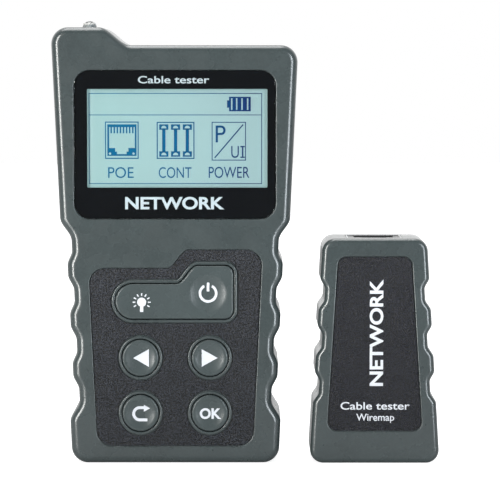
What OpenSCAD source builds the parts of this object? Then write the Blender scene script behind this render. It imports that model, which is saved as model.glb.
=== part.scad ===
// Handheld network cable tester with its remote terminator, standing side by side.
// Millimetres. +X is to the right seen from the front, +Y to the back, +Z up.
// The origin is the middle of the handset's base, and z = 0 is the surface both units stand on.

/* [Handset case] */
// Height of the flat top beside the torch hump
case_h = 124.4; // [124:0.2:125.2]
// Rise of the torch hump above the flat top
hump_h = 5.3; // [4.9:0.1:6]
// Half width of the head at its reference height
head_half_w = 36.4; // [36:0.2:37]
// Depth from front face to back face
case_d = 32; // [32:0.5:34]
// How far the front shell reaches back from the front face
front_d = 14; // [13.5:0.1:14.5]
// Wall thickness of the shells
wall = 2.2; // [2:0.1:2.4]
// Corner radius of the outline
corner_r = 5; // [4.5:0.1:5.2]

/* [Grip waves] */
// Height of the lowest handset finger valley
grip_low = 20.5; // [20:0.1:21]
// Spacing of the handset finger valleys
grip_pitch = 14.87; // [14.5:0.01:15]
// Depth of a handset valley below the side line
grip_depth = 3.06; // [2:0.02:3.2]
// Depth of a handset crest below the side line
crest_depth = 1.5; // [1:0.1:1.8]

/* [Display] */
// Width of the display lens
lens_w = 59.9; // [59.5:0.1:61]
// Height of the display lens
lens_h = 44.25; // [44:0.05:45]
// Height of the lens centre above the base
lens_z = 95; // [94.8:0.05:95.5]
// Width of the clear window
window_w = 53.4; // [52:0.1:54]
// Height of the clear window
window_h = 29.2; // [28:0.1:29.8]

/* [Keys] */
// Radius of a round key cap
key_r = 5.43; // [5.2:0.01:5.5]
// Sideways distance of the round keys from the middle
key_x = 10.3; // [10:0.1:10.6]
// Height of the upper row of round keys
key_row_high = 31.65; // [31.4:0.05:31.9]
// Height of the lower row of round keys
key_row_low = 15.15; // [14.9:0.05:15.4]
// Travel of a round key
key_travel = 0.5; // [0.2:0.1:0.5]

/* [Ports] */
// Width over the shield of a modular jack
jack_w = 16.3; // [16:0.1:16.4]
// Height over the shield of a modular jack, front to back
jack_d = 13.5; // [13:0.1:13.5]
// Length of a modular jack along the plug's way in
jack_l = 18; // [17:0.5:19]
// Sideways place of the left handset port
port_a_x = -1.5; // [-3:0.5:0]
// Sideways place of the right handset port
port_b_x = 18.5; // [17.5:0.5:19.5]

/* [Batteries] */
// Radius of a AAA cell
cell_r = 5.25; // [5:0.05:5.25]
// Overall length of a AAA cell
cell_l = 44.5; // [43.5:0.5:44.5]
// Spacing of the cells
cell_pitch = 11.1; // [10.8:0.1:11.2]

/* [Remote unit] */
// Sideways place of the remote
remote_x = 59.4; // [58:0.1:66]
// How far the remote stands behind the handset's middle
remote_y = -4; // [-4:1:2]
// Height of the remote
remote_h = 67.1; // [66.5:0.1:67.5]
// Depth of the remote
remote_d = 24; // [24:0.5:25]
// Depth of a remote finger valley
remote_dip = 1.56; // [1:0.02:1.6]

/* [Hidden] */
$fn = 48;

shell_grey = [0.36, 0.40, 0.39];
overlay_black = [0.17, 0.17, 0.19];
board_green = [0.10, 0.34, 0.20];
tin = [0.78, 0.79, 0.80];
gold = [0.85, 0.68, 0.32];
chip_black = [0.09, 0.09, 0.10];
nylon_white = [0.88, 0.88, 0.85];

// Handset planes, front to back
front_y = -case_d / 2;
back_y = case_d / 2;
split_y = front_y + front_d;
lens_t = 1.0;
mask_t = 0.2;
recess_y = front_y + lens_t + mask_t;
lens_r = 4.8;
lens_gap = 0.15;
window_x = 0.7;
window_z0 = 82.25;
window_r = 0.3;
ledge_x = [-27, 28.4];
ledge_z = [81.8, 113.2];
ledge_r = 1;
panel_x = [-28, 29.4];
panel_z = [79.6, 114.4];
panel_r = 0.5;
backlight_up = 1;
backlight_gap = 0.4;
ribbon_t = 0.2;
ribbon_w = 20;
ribbon_z = [79.6, 77.4, 75.8, 71];
ribbon_bend = 1.4;
inner_y = front_y + wall;
lcd_y = inner_y + 0.2;
lcd_t = 2.8;
board_y = -7.6;
board_t = 1.6;
board_back = board_y + board_t;
board_top = 121.4;

// Handset outline
head_z = 120.3;
side_taper = 0.0466;
hump_x = -13;
hump_run = 9.6;
hump_top = case_h + hump_h;
edge_r = 2;
edge_layers = 3;
layer_lap = 0.1;
lip_t = 1.0;
lip_gap = 0.1;
lip_h = 1.4;
grip_flat = 1.35;
grip_ramp = 4.7;
end_ramp = 6.85;
wave_step = 1.2;

// How far a cut reaches past the face it opens, and how far a joined part sinks in
cut = 1;
join = 0.5;

// Fasteners: [x, z] of each
case_bosses = [[30.9, 117.2], [-31, 113.5], [25.4, 6.6], [-25.4, 6.6]];
board_posts = [[28.5, 76], [-28.5, 76], [23.5, 27], [-23.5, 27]];
boss_r = 2.7;
screw_r = 1.2;
screw_gap = 0.05;
head_r = 2.3;
head_h = 1.6;
head_gap = 0.3;
rear_boss_r = 3;
pass_gap = 0.2;
screw_well = 7.8;
cross_w = 0.5;
cross_l = 1.3;
board_gap = 0.4;
post_r = 2.2;
post_screw_r = 0.85;
post_head_r = 1.9;
post_head_h = 1.1;

// Keys
cap_proud = 0.9;
cap_gap = 0.2;
collar_w = 0.9;
collar_proud = 0.3;
overlay_t = 0.4;
overlay_gap = 0.1;
overlay_edge_gap = 0.1;
overlay_hole_gap = 0.15;
flange_gap = 0.3;
flange_t = 0.8;
flange_w = 1.0;
dish_r = 26;
dish_depth = 0.45;
switch_w = 6;
switch_h = 3.5;
plunger_r = 1.75;
plunger_gap = 0.05;
plunger_reach = 1.6;
plunger_over = 0.3;
switch_over = 0.2;
switch_top = board_y - switch_h;

// Two-ended light and power key, which rocks about a vertical pin
rocker_cx = -0.2;
rocker_z0 = 43.3;
rocker_left = -17.75;
rocker_right = 17.35;
rocker_low_h = 10.4;
rocker_step_x = [0.2, 6.7];
rocker_top = 59.1;
rocker_corner = 2.6;
rocker_flange_y = inner_y + 0.8;
rocker_pin_r = 0.8;
pin_gap = 0.05;
rocker_pin_y = rocker_flange_y + flange_t / 2;
rocker_ear_w = 3;
rocker_ear_h = 2;
rocker_pin_over = 4.2;
rocker_plunger_gap = 0.25;
rocker_ear_back = 1.4;
rocker_ear_up = 2.5;
rocker_ear_zs = [rocker_z0 - rocker_pin_over, rocker_z0 + rocker_low_h + rocker_ear_up];
rocker_end_gap = 0.2;
rocker_pin_l = rocker_ear_zs[1] - rocker_ear_zs[0] + rocker_ear_h - 2 * rocker_end_gap;
rocker_dish_r = 18;
rocker_dish_depth = 0.8;
rocker_pads = [[-12.5, 48.5], [9.8, 50.9]];

// Keypad overlay
overlay_inset = 7.8;
overlay_z0 = 5.1;
overlay_left_top = 58.5;
overlay_right_top = 64;
overlay_step_x = [-2.5, 4.1];
overlay_r = 4.8;

// Parts on the board's back: [x, z] or [low x, low z], and sizes
mcu_at = [0, 86];
mcu_w = 10;
mcu_h = 1.4;
coil_at = [17, 88];
coil_w = 7;
coil_h = 3.2;
can_xs = [-27, -20.5];
can_zs = [82, 88.5];
can_r = 2.5;
can_h = 5.4;
buzzer_at = [-18, 99];
buzzer_r = 5.5;
buzzer_h = 4.2;
buzzer_hole_r = 1.1;
buzzer_hole_deep = 0.8;

// Modular jack
sheet = 0.3;
insert_gap = 0.2;
jack_bay_y = -2.2;
jack_key_w = 3.4;
jack_key_y = -5.6;
jack_key_deep = 7;
contact_w = 0.4;
contact_t = 0.35;
contact_l = 8.4;
contact_top = -2.6;
contact_lean = 17;
jack_bay_w = 11.9;
jack_bay_d = 7.2;
jack_bay_deep = 14;
jack_latch_w = 7.2;
jack_latch_d = 2.4;
port_y = board_back + jack_d / 2;
port_gap = 0.2;
contact_pitch = 1.02;

// Torch
torch_x = -26.1;
torch_y = 2;
torch_r = 2.2;
torch_top = 131.8;
torch_gap = 0.1;
torch_foot_z = 121;
torch_foot_w = 0.5;
holder_z = 122.2;
holder_w = 1.2;
lead_r = 0.25;
lead_x = 1.27;
lead_z = 112;

// Battery bay and door
bay_z = [15.5, 65.5];
bay_x = 16.9;
bay_wall = 1.5;
bay_floor = 2.2;
cell_y = 8;
plate_t = 0.4;
nub_r = 1.9;
nub_h = 0.8;
coil_steps = 14;
spring_rs = [3.6, 2.2];
spring_turns = 3;
wire_r = 0.25;
plate_w = 8.8;
plate_back = 1.6;
tab_w = 2.4;
tab_in = 0.2;
tab_gap = 0.15;
spring_l = bay_z[1] - bay_z[0] - 2 * plate_t - cell_l;
door_t = 2;
door_x = 19.3;
door_z = [12.8, 68.2];
door_gap = 0.3;
tab_zs = [bay_z[0] + tab_in, bay_z[1] - plate_t - tab_in];
door_axis_y = back_y - door_t / 2;
door_axis_z = door_z[1] - door_t / 2;
door_pin_r = 0.6;
door_pin_l = 1.2;
thumb_w = 11;
thumb_h = 1.8;
thumb_t = 1.7;
door_r = 0.8;
door_hole_r = 1;
door_seat_t = 1.4;
door_seat_x = 21.4;
door_seat_z = [10.4, 70.6];
door_seat_r = 2;

// Remote unit
remote_wall = 2;
remote_front = -remote_d / 2;
remote_back = remote_d / 2;
remote_inner = remote_front + remote_wall;
remote_base_half = 19.2;
remote_taper = 0.059;
remote_low = 22.8;
remote_pitch = 13.87;
remote_flat = 1.4;
remote_wave_step = 0.95;
remote_ramp = 3.6;
remote_corner = 3.9;
remote_edge_r = 1.5;
remote_bosses = [[11.6, 57], [-11.6, 57], [13, 7], [-13, 7]];
remote_boss_r = 2.2;
remote_screw_r = 1;
remote_head_r = 1.8;
remote_head_h = 1.4;
remote_well = 4.5;
remote_board_y = jack_d / 2;
remote_board_half = 8.6;
remote_board_z = [12, 64];
remote_posts = [[5, 20], [-5, 20]];
remote_post_r = 1.9;
remote_overlay_r = 2.8;
remote_overlay_z = [9.6, 61.9];
remote_overlay_half = [14, 11.1];
diode_pitch = 3.6;
diode_row = 7;
diode_at = [-6.6, 34];
diode_size = [2.4, 1.1, 4.4];

// Eases from 0 to 1 along half a cosine
function ease(t) = t <= 0 ? 0 : t >= 1 ? 1 : (1 - cos(180 * t)) / 2;

// Points of an arc about (cx, cz)
function arc(cx, cz, r, a0, a1, n = 8) =
    [for (i = [0:n]) let (a = a0 + (a1 - a0) * i / n) [cx + r * cos(a), cz + r * sin(a)]];

// How deep a wavy side lies below its straight line at height z: valleys at low, low + pitch ...
function notch(z, low, pitch, count, flat, ramp, last, valley, crest) =
    let (high = low + (count - 1) * pitch)
    z > high ? valley * (1 - ease((z - high - flat) / last)) :
    z < low ? valley * (1 - ease((low - z - flat) / last)) :
    let (over = (z - low) % pitch, near = min(over, pitch - over))
    valley - (valley - crest) * ease((near - flat) / ramp);

function side_line(z) = head_half_w - side_taper * (head_z - z);
function handset_half(z) = side_line(z)
    - notch(z, grip_low, grip_pitch, 4, grip_flat, grip_ramp, end_ramp, grip_depth, crest_depth);
function remote_half(z) = remote_base_half - remote_taper * (z - 4.2)
    - notch(z, remote_low, remote_pitch, 3, remote_flat, remote_ramp, remote_ramp, remote_dip, 0);

grip_span = [grip_low - grip_flat - end_ramp, grip_low + 3 * grip_pitch + grip_flat + end_ramp];
handset_zs = [for (z = [grip_span[0]:wave_step:grip_span[1]]) z];
remote_zs = [for (z = [remote_low - 5:remote_wave_step:remote_low + 2 * remote_pitch + 5]) z];

// Outline of the handset seen from the front, counter-clockwise from the lower right corner
handset_pts = let (a = atan(side_taper), n = len(handset_zs), r = corner_r) concat(
    arc(handset_half(r) - r, r, r, -90, -a),
    [for (z = handset_zs) [handset_half(z), z]],
    arc(handset_half(case_h - r) - r, case_h - r, r, -a, 90),
    [for (i = [0:10]) [hump_x - hump_run * i / 10, case_h + hump_h * ease(i / 10)]],
    arc(r - handset_half(hump_top - r), hump_top - r, r, 90, 180 + a),
    [for (i = [n - 1:-1:0]) [-handset_half(handset_zs[i]), handset_zs[i]]],
    arc(r - handset_half(r), r, r, 180 + a, 270));

// Outline of the remote, in its own frame
remote_pts = let (a = atan(remote_taper), n = len(remote_zs), r = remote_corner, t = remote_h - r) concat(
    arc(remote_half(r) - r, r, r, -90, a),
    [for (z = remote_zs) [remote_half(z), z]],
    arc(remote_half(t) - r, t, r, a, 90),
    arc(r - remote_half(t), t, r, 90, 180 - a),
    [for (i = [n - 1:-1:0]) [-remote_half(remote_zs[i]), remote_zs[i]]],
    arc(r - remote_half(r), r, r, 180 - a, 270));

// Moves each point of a counter-clockwise outline inwards by d
function inset(pts, d) = let (n = len(pts)) [for (i = [0:n - 1])
    let (t = pts[(i + 1) % n] - pts[(i + n - 1) % n]) pts[i] - d * [t[1], -t[0]] / norm(t)];

// Outline of the keypad overlay: sides along the case, a step up to the right, round corners
function overlay_half(z) = side_line(z) - overlay_inset;
overlay_pts = let (r = overlay_r, a = atan(side_taper), lt = overlay_left_top, rt = overlay_right_top) concat(
    arc(overlay_half(overlay_z0 + r) - r, overlay_z0 + r, r, -90, -a),
    arc(overlay_half(rt - r) - r, rt - r, r, -a, 90),
    [for (i = [0:10]) let (t = 1 - i / 10)
        [overlay_step_x[0] + (overlay_step_x[1] - overlay_step_x[0]) * t, lt + (rt - lt) * ease(t)]],
    arc(r - overlay_half(lt - r), lt - r, r, 90, 180 + a),
    arc(r - overlay_half(overlay_z0 + r), overlay_z0 + r, r, 180 + a, 270));

// Outline of the light and power key: a round left end and a taller square right end
rocker_pts = let (r = rocker_corner, h = rocker_low_h / 2, low = rocker_z0 + rocker_low_h) concat(
    arc(rocker_right - r, rocker_z0 + r, r, -90, 0),
    arc(rocker_right - r, rocker_top - r, r, 0, 90),
    [for (i = [0:10]) let (t = 1 - i / 10)
        [rocker_step_x[0] + (rocker_step_x[1] - rocker_step_x[0]) * t, low + (rocker_top - low) * ease(t)]],
    arc(rocker_left + h, rocker_z0 + h, h, 90, 270, 16));

// Outline of the remote's overlay: wider at its foot, with round corners
remote_overlay_pts = let (r = remote_overlay_r, z0 = remote_overlay_z[0], z1 = remote_overlay_z[1],
    b = remote_overlay_half[0], t = remote_overlay_half[1], a = atan((b - t) / (z1 - z0))) concat(
    arc(b - r, z0 + r, r, -90, a),
    arc(t - r, z1 - r, r, a, 90),
    arc(r - t, z1 - r, r, 90, 180 - a),
    arc(r - b, z0 + r, r, 180 - a, 270));

// A flat shape drawn in X and Z, from y0 back to y1
module plate(y0, y1) translate([0, y1, 0]) rotate([90, 0, 0]) linear_extrude(y1 - y0) children();

// A round bar along Y at (x, z)
module rod(at, y0, y1, r) translate([at[0], y0, at[1]]) rotate([-90, 0, 0]) cylinder(h = y1 - y0, r = r);

module block(low, high) translate(low) cube(high - low);

module rounded(x0, x1, z0, z1, r) polygon(concat(
    arc(x1 - r, z0 + r, r, -90, 0), arc(x1 - r, z1 - r, r, 0, 90),
    arc(x0 + r, z1 - r, r, 90, 180), arc(x0 + r, z0 + r, r, 180, 270)));

// The lens recess drawn in X and Z, smaller by d all round
module lens_shape(d) rounded(d - lens_w / 2, lens_w / 2 - d, lens_z - lens_h / 2 + d, lens_z + lens_h / 2 - d,
    lens_r - d);

// A rectangle between two pairs of limits
module span(x, z, r) rounded(x[0], x[1], z[0], z[1], r);

// Half a case: the outline carried from its face to the seam, the face's edge rounded in thin layers
module case_half(pts, face, seam, r) {
    way = sign(seam - face);
    for (k = [0:edge_layers]) {
        near = face + way * r * (1 - cos(90 * k / edge_layers));
        far = k == edge_layers ? seam : face + way * (r * (1 - cos(90 * (k + 1) / edge_layers)) + layer_lap);
        in = k == edge_layers ? 0 : r * (1 - sin(90 * (k + 0.5) / edge_layers));
        plate(min(near, far), max(near, far)) polygon(inset(pts, in));
    }
}

key_xs = [-key_x, key_x];
key_rows = [key_row_high, key_row_low];
port_xs = [port_a_x, port_b_x];

function all_keys() = [for (z = key_rows) for (x = key_xs) [x, z]];

// Space cut through the top wall for both ports
module port_cuts() for (x = port_xs)
    block([x - jack_w / 2 - port_gap, port_y - jack_d / 2 - port_gap, case_h - jack_l],
          [x + jack_w / 2 + port_gap, port_y + jack_d / 2 + port_gap, hump_top]);

module front_shell() color(shell_grey) difference() {
    union() {
        difference() {
            case_half(handset_pts, front_y, split_y, edge_r);
            plate(inner_y, split_y + cut) polygon(inset(handset_pts, wall));
            plate(split_y - lip_h - lip_gap, split_y + cut)
                polygon(inset(handset_pts, wall - lip_t - lip_gap));
        }
        for (b = case_bosses) rod(b, inner_y - join, split_y, boss_r);
        for (b = board_posts) rod(b, inner_y - join, board_y, post_r);
        for (k = all_keys()) rod(k, front_y - collar_proud, front_y + wall, key_r + cap_gap + collar_w);
        plate(front_y - collar_proud, inner_y) polygon(inset(rocker_pts, -cap_gap - collar_w));
        for (z = rocker_ear_zs)
            block([rocker_cx - rocker_ear_w / 2, inner_y - join, z],
                  [rocker_cx + rocker_ear_w / 2, rocker_pin_y + rocker_ear_back, z + rocker_ear_h]);
    }
    plate(front_y - cut, recess_y) lens_shape(0);
    plate(front_y, inner_y + cut) span(ledge_x, ledge_z, ledge_r);
    difference() {
        plate(front_y - cut, front_y + overlay_t + overlay_gap) polygon(overlay_pts);
        for (k = all_keys()) rod(k, front_y - 2 * cut, inner_y, key_r + cap_gap + collar_w);
        plate(front_y - 2 * cut, inner_y) polygon(inset(rocker_pts, -cap_gap - collar_w));
    }
    for (k = all_keys()) rod(k, front_y - cut, inner_y + cut, key_r + cap_gap);
    plate(front_y - cut, inner_y + 0.01) polygon(inset(rocker_pts, -cap_gap));
    translate([rocker_cx, rocker_pin_y, rocker_ear_zs[0] - 1])
        cylinder(h = rocker_ear_zs[1] - rocker_ear_zs[0] + rocker_ear_h + 2, r = rocker_pin_r + pin_gap);
    for (b = case_bosses) rod(b, inner_y + cut, split_y + cut, screw_r + screw_gap);
    for (b = board_posts) rod(b, inner_y + cut, board_y + cut, post_screw_r + screw_gap);
    port_cuts();
}

module rear_shell() color(shell_grey) difference() {
    union() {
        difference() {
            case_half(handset_pts, back_y, split_y, edge_r);
            plate(split_y - cut, back_y - wall) polygon(inset(handset_pts, wall));
        }
        difference() {
            plate(split_y - lip_h, split_y + cut) polygon(inset(handset_pts, wall - lip_t));
            plate(split_y - lip_h - cut, split_y + 2 * cut) polygon(inset(handset_pts, wall));
        }
        for (b = case_bosses) rod(b, split_y, back_y - cut, rear_boss_r);
        block([-bay_x - bay_wall, bay_floor - bay_wall, bay_z[0] - bay_wall],
              [bay_x + bay_wall, back_y - door_t, bay_z[1] + bay_wall]);
        plate(back_y - door_t - door_seat_t, back_y - cut)
            span([-door_seat_x, door_seat_x], door_seat_z, door_seat_r);
    }
    block([-bay_x, bay_floor, bay_z[0]], [bay_x, back_y + cut, bay_z[1]]);
    plate(back_y - door_t, back_y + cut)
        span([-door_x - door_gap, door_x + door_gap], door_z + door_gap * [-1, 1], door_hole_r);
    block([-thumb_w / 2 - door_gap, back_y - door_t, door_z[0] - thumb_h - door_gap],
          [thumb_w / 2 + door_gap, back_y + cut, door_z[0]]);
    translate([-door_x - door_pin_l - door_gap, door_axis_y, door_axis_z]) rotate([0, 90, 0])
        cylinder(h = 2 * (door_x + door_pin_l + door_gap), r = door_pin_r + pin_gap);
    for (x = [-1, 1] * cell_pitch, z = tab_zs)
        block([x - tab_w / 2 - tab_gap, bay_floor - bay_wall - cut, z - tab_gap],
              [x + tab_w / 2 + tab_gap, bay_floor + cut, z + plate_t + tab_gap]);
    for (b = case_bosses) {
        rod(b, split_y - 3 * cut, back_y + cut, screw_r + pass_gap);
        rod(b, back_y - screw_well, back_y + cut, head_r + head_gap);
    }
    translate([torch_x, torch_y, holder_z]) cylinder(h = hump_top - holder_z + cut, r = torch_r + torch_gap);
    port_cuts();
}

module display_lens() color([0.75, 0.82, 0.84, 0.4])
    plate(front_y, front_y + lens_t) lens_shape(lens_gap);

module display_mask() color([0.08, 0.09, 0.11]) plate(front_y + lens_t, recess_y) difference() {
    lens_shape(lens_gap);
    rounded(window_x - window_w / 2, window_x + window_w / 2, window_z0, window_z0 + window_h, window_r);
}

module lcd_panel() color([0.66, 0.83, 0.82])
    plate(lcd_y, lcd_y + lcd_t) span(panel_x, panel_z, panel_r);

module lcd_backlight() color(nylon_white)
    plate(lcd_y + lcd_t, board_y - backlight_gap)
        span(panel_x, [panel_z[0] + backlight_up, panel_z[1]], panel_r);

// Flat flexible cable from the panel's lower edge round the backlight to the board
ribbon_pts = let (y = lcd_y + 1, t = ribbon_t, z = ribbon_z, b = ribbon_bend)
    [[y, z[0]], [y, z[1]], [y + b, z[2]], [board_y - t, z[2]], [board_y - t, z[3]], [board_y, z[3]],
     [board_y, z[2] + t], [y + b + t / 2, z[2] + t], [y + t, z[1] + t / 2], [y + t, z[0]]];
module lcd_ribbon() color([0.72, 0.48, 0.16])
    translate([-ribbon_w / 2, 0, 0]) rotate([90, 0, 90]) linear_extrude(ribbon_w) polygon(ribbon_pts);

module main_board() color(board_green) plate(board_y, board_back) difference() {
    intersection() {
        polygon(inset(handset_pts, wall + lip_t));
        translate([-head_half_w, 0]) square([2 * head_half_w, board_top]);
    }
    for (b = case_bosses) translate(b) circle(r = boss_r + board_gap);
    for (b = board_posts) translate(b) circle(r = post_screw_r + pass_gap);
}

module keypad_overlay() color(overlay_black) plate(front_y + overlay_gap, front_y + overlay_gap + overlay_t)
    difference() {
        polygon(inset(overlay_pts, overlay_edge_gap));
        for (k = all_keys()) translate(k) circle(r = key_r + cap_gap + collar_w + overlay_hole_gap);
        polygon(inset(rocker_pts, -cap_gap - collar_w - overlay_hole_gap));
    }

// A round key: cap with a shallow dish, and the flange that keeps it in the shell
module round_key(at) color(shell_grey) difference() {
    union() {
        rod(at, front_y - cap_proud, inner_y + flange_gap + 0.1, key_r);
        rod(at, inner_y + flange_gap, key_back, key_r + cap_gap + flange_w);
    }
    translate([at[0], front_y - cap_proud - dish_r + dish_depth, at[1]]) sphere(r = dish_r, $fn = 96);
}

// The push rod under a key, from y0 down into its switch
module plunger(at, y0) color([0.78, 0.72, 0.5])
    rod(at, y0, switch_top + plunger_reach - key_travel - plunger_over, plunger_r);

key_back = inner_y + flange_gap + flange_t;
rocker_back = rocker_flange_y + flange_t;

module left_key() round_key([-key_x, key_rows[0]]);
module right_key() round_key([key_x, key_rows[0]]);
module back_key() round_key([-key_x, key_rows[1]]);
module ok_key() round_key([key_x, key_rows[1]]);
module left_plunger() plunger([-key_x, key_rows[0]], key_back);
module right_plunger() plunger([key_x, key_rows[0]], key_back);
module back_plunger() plunger([-key_x, key_rows[1]], key_back);
module ok_plunger() plunger([key_x, key_rows[1]], key_back);
module light_plunger() plunger(rocker_pads[0], rocker_back);
module power_plunger() plunger(rocker_pads[1], rocker_back);

module light_power_key() color(shell_grey) difference() {
    union() {
        plate(front_y - cap_proud, rocker_flange_y + 0.1) polygon(rocker_pts);
        plate(rocker_flange_y, rocker_back) polygon(inset(rocker_pts, -cap_gap - flange_w));
        translate([rocker_cx, rocker_pin_y, rocker_ear_zs[0] + rocker_end_gap])
            cylinder(h = rocker_pin_l, r = rocker_pin_r);
    }
    translate([rocker_pads[1][0], front_y - cap_proud - rocker_dish_r + rocker_dish_depth, rocker_pads[1][1]])
        sphere(r = rocker_dish_r, $fn = 96);
}

// A push switch on the board with a bore that its plunger slides in
module key_switch(at, gap) difference() {
    block([at[0] - switch_w / 2, switch_top, at[1] - switch_w / 2],
          [at[0] + switch_w / 2, board_y, at[1] + switch_w / 2]);
    rod(at, switch_top - cut, switch_top + plunger_reach + switch_over, plunger_r + gap);
}
module key_switches() color(chip_black) {
    for (k = all_keys()) key_switch(k, plunger_gap);
    for (p = rocker_pads) key_switch(p, rocker_plunger_gap);
}

// A square part on the board's back, its low corner at (x, z)
module on_board(at, w, h) block([at[0], board_back, at[1]], [at[0] + w, board_back + h, at[1] + w]);
module microcontroller() color(chip_black) on_board(mcu_at, mcu_w, mcu_h);
module power_inductor() color([0.25, 0.25, 0.27]) on_board(coil_at, coil_w, coil_h);
module board_capacitors() color(tin) for (x = can_xs, z = can_zs)
    rod([x, z], board_back, board_back + can_h, can_r);
module buzzer() color(chip_black) difference() {
    rod(buzzer_at, board_back, board_back + buzzer_h, buzzer_r);
    rod(buzzer_at, board_back + buzzer_h - buzzer_hole_deep, board_back + buzzer_h + cut, buzzer_hole_r);
}

// Modular jack, mouth up at the origin, latch side to the front
module jack_shield() color(tin) difference() {
    block([-jack_w / 2, -jack_d / 2, -jack_l], [jack_w / 2, jack_d / 2, 0]);
    block([-jack_w / 2 + sheet, -jack_d / 2 + sheet, -jack_l + sheet],
          [jack_w / 2 - sheet, jack_d / 2 - sheet, cut]);
}

module jack_insert() color(chip_black) difference() {
    block([-jack_w / 2 + sheet, -jack_d / 2 + sheet, -jack_l + sheet],
          [jack_w / 2 - sheet, jack_d / 2 - sheet, -insert_gap]);
    block([-jack_bay_w / 2, jack_bay_y, -jack_bay_deep], [jack_bay_w / 2, jack_bay_y + jack_bay_d, cut]);
    block([-jack_latch_w / 2, jack_bay_y - jack_latch_d, -jack_bay_deep], [jack_latch_w / 2, 0, cut]);
    block([-jack_key_w / 2, jack_key_y, -jack_key_deep], [jack_key_w / 2, 0, cut]);
}

// Eight spring wires that slant out of the rear wall of the bay
module jack_contacts() color(gold) for (i = [0:7])
    translate([(i - 3.5) * contact_pitch - contact_w / 2, jack_bay_y + jack_bay_d - 0.1, contact_top])
        rotate([-contact_lean, 0, 0]) translate([0, 0, -contact_l]) cube([contact_w, contact_t, contact_l]);

module at_port(i) translate([port_xs[i], port_y, case_h]) children();
module port_a_shield() at_port(0) jack_shield();
module port_a_insert() at_port(0) jack_insert();
module port_a_contacts() at_port(0) jack_contacts();
module port_b_shield() at_port(1) jack_shield();
module port_b_insert() at_port(1) jack_insert();
module port_b_contacts() at_port(1) jack_contacts();

module torch_led() color([0.92, 0.94, 0.95, 0.6]) translate([torch_x, torch_y, 0]) {
    translate([0, 0, torch_foot_z]) cylinder(h = 1, r = torch_r + torch_foot_w);
    translate([0, 0, torch_foot_z]) cylinder(h = torch_top - torch_r - torch_foot_z, r = torch_r);
    translate([0, 0, torch_top - torch_r]) sphere(r = torch_r);
}

module torch_leads() color(tin) for (x = [-lead_x, lead_x]) {
    translate([torch_x + x, torch_y, lead_z - 0.2]) cylinder(h = torch_foot_z - lead_z + 0.2, r = lead_r);
    rod([torch_x + x, lead_z], board_back, torch_y, lead_r);
}

module torch_holder() color(chip_black) translate([torch_x, torch_y, holder_z]) difference() {
    cylinder(h = hump_top - wall - holder_z - 0.2, r = torch_r + holder_w);
    translate([0, 0, -cut]) cylinder(h = hump_h + 4 * cut, r = torch_r + torch_gap);
}

// A cell with its positive nub up, or down when flip is true
module cell(x, flip) color([0.16, 0.27, 0.42]) {
    base = flip ? bay_z[0] + plate_t : bay_z[1] - plate_t - cell_l;
    translate([x, cell_y, base + (flip ? nub_h : 0)]) cylinder(h = cell_l - nub_h, r = cell_r);
    translate([x, cell_y, flip ? base : base + cell_l - nub_h - 0.1]) cylinder(h = nub_h + 0.1, r = nub_r);
}
module battery_1() cell(-cell_pitch, false);
module battery_2() cell(0, true);
module battery_3() cell(cell_pitch, false);

// A tapering coil of wire, standing on z = 0, with a ring of six points at each step
module coil(r0, r1, h, turns, wire) {
    steps = coil_steps * turns;
    points = [for (i = [0:steps]) for (k = [0:5]) let (t = i / steps, a = 360 * i / coil_steps,
        r = r0 + (r1 - r0) * t + wire * cos(60 * k), z = wire + (h - 2 * wire) * t + wire * sin(60 * k))
        [r * cos(a), r * sin(a), z]];
    sides = [for (i = [0:steps - 1]) for (k = [0:5]) let (a = 6 * i + k, b = 6 * i + (k + 1) % 6)
        for (face = [[a, b + 6, b], [a, a + 6, b + 6]]) face];
    polyhedron(points, concat(sides, [[0, 1, 2, 3, 4, 5], [for (k = [5:-1:0]) 6 * steps + k]]));
}

module spring() coil(spring_rs[0], spring_rs[1], spring_l, spring_turns, wire_r);

module battery_springs() color(tin) for (i = [-1:1]) translate([i * cell_pitch, cell_y, 0]) {
    if (i == 0) translate([0, 0, bay_z[1] - plate_t]) mirror([0, 0, 1]) spring();
    else translate([0, 0, bay_z[0] + plate_t]) spring();
}

module battery_plates() color(tin) {
    for (i = [-1:1], z = [bay_z[0], bay_z[1] - plate_t])
        block([i * cell_pitch - plate_w / 2, bay_floor, z],
              [i * cell_pitch + plate_w / 2, back_y - door_t - plate_back, z + plate_t]);
    for (x = [-1, 1] * cell_pitch, z = tab_zs)
        block([x - tab_w / 2, board_back, z], [x + tab_w / 2, bay_floor + tab_in, z + plate_t]);
}

module screw(at, tip, seat, r, head, head_h) union() {
    rod(at, tip, seat + 0.1, r);
    difference() {
        rod(at, seat, seat + head_h, head);
        for (turn = [0, 90]) translate([at[0], seat + head_h, at[1]]) rotate([0, turn, 0])
            cube([head * cross_l, head_h, cross_w], center = true);
    }
}
module case_screws() color(tin) for (b = case_bosses)
    screw(b, inner_y + 2, back_y - screw_well, screw_r, head_r, head_h);
module board_screws() color(tin) for (b = board_posts)
    screw(b, inner_y + 1.6, board_back, post_screw_r, post_head_r, post_head_h);

module battery_door() color(shell_grey) {
    plate(back_y - door_t, back_y) rounded(-door_x, door_x, door_z[0], door_axis_z, door_r);
    block([-door_x, back_y - door_t, door_axis_z - 2 * door_r], [door_x, back_y, door_axis_z]);
    translate([-door_x, door_axis_y, door_axis_z]) rotate([0, 90, 0])
        cylinder(h = 2 * door_x, r = door_t / 2);
    translate([-door_x - door_pin_l, door_axis_y, door_axis_z]) rotate([0, 90, 0])
        cylinder(h = 2 * (door_x + door_pin_l), r = door_pin_r);
    block([-thumb_w / 2, back_y - thumb_t, door_z[0] - thumb_h], [thumb_w / 2, back_y, door_z[0] + 1]);
}

// The remote is drawn about its own middle, then set beside the handset
module at_remote() translate([remote_x, remote_y, 0]) children();

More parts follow.
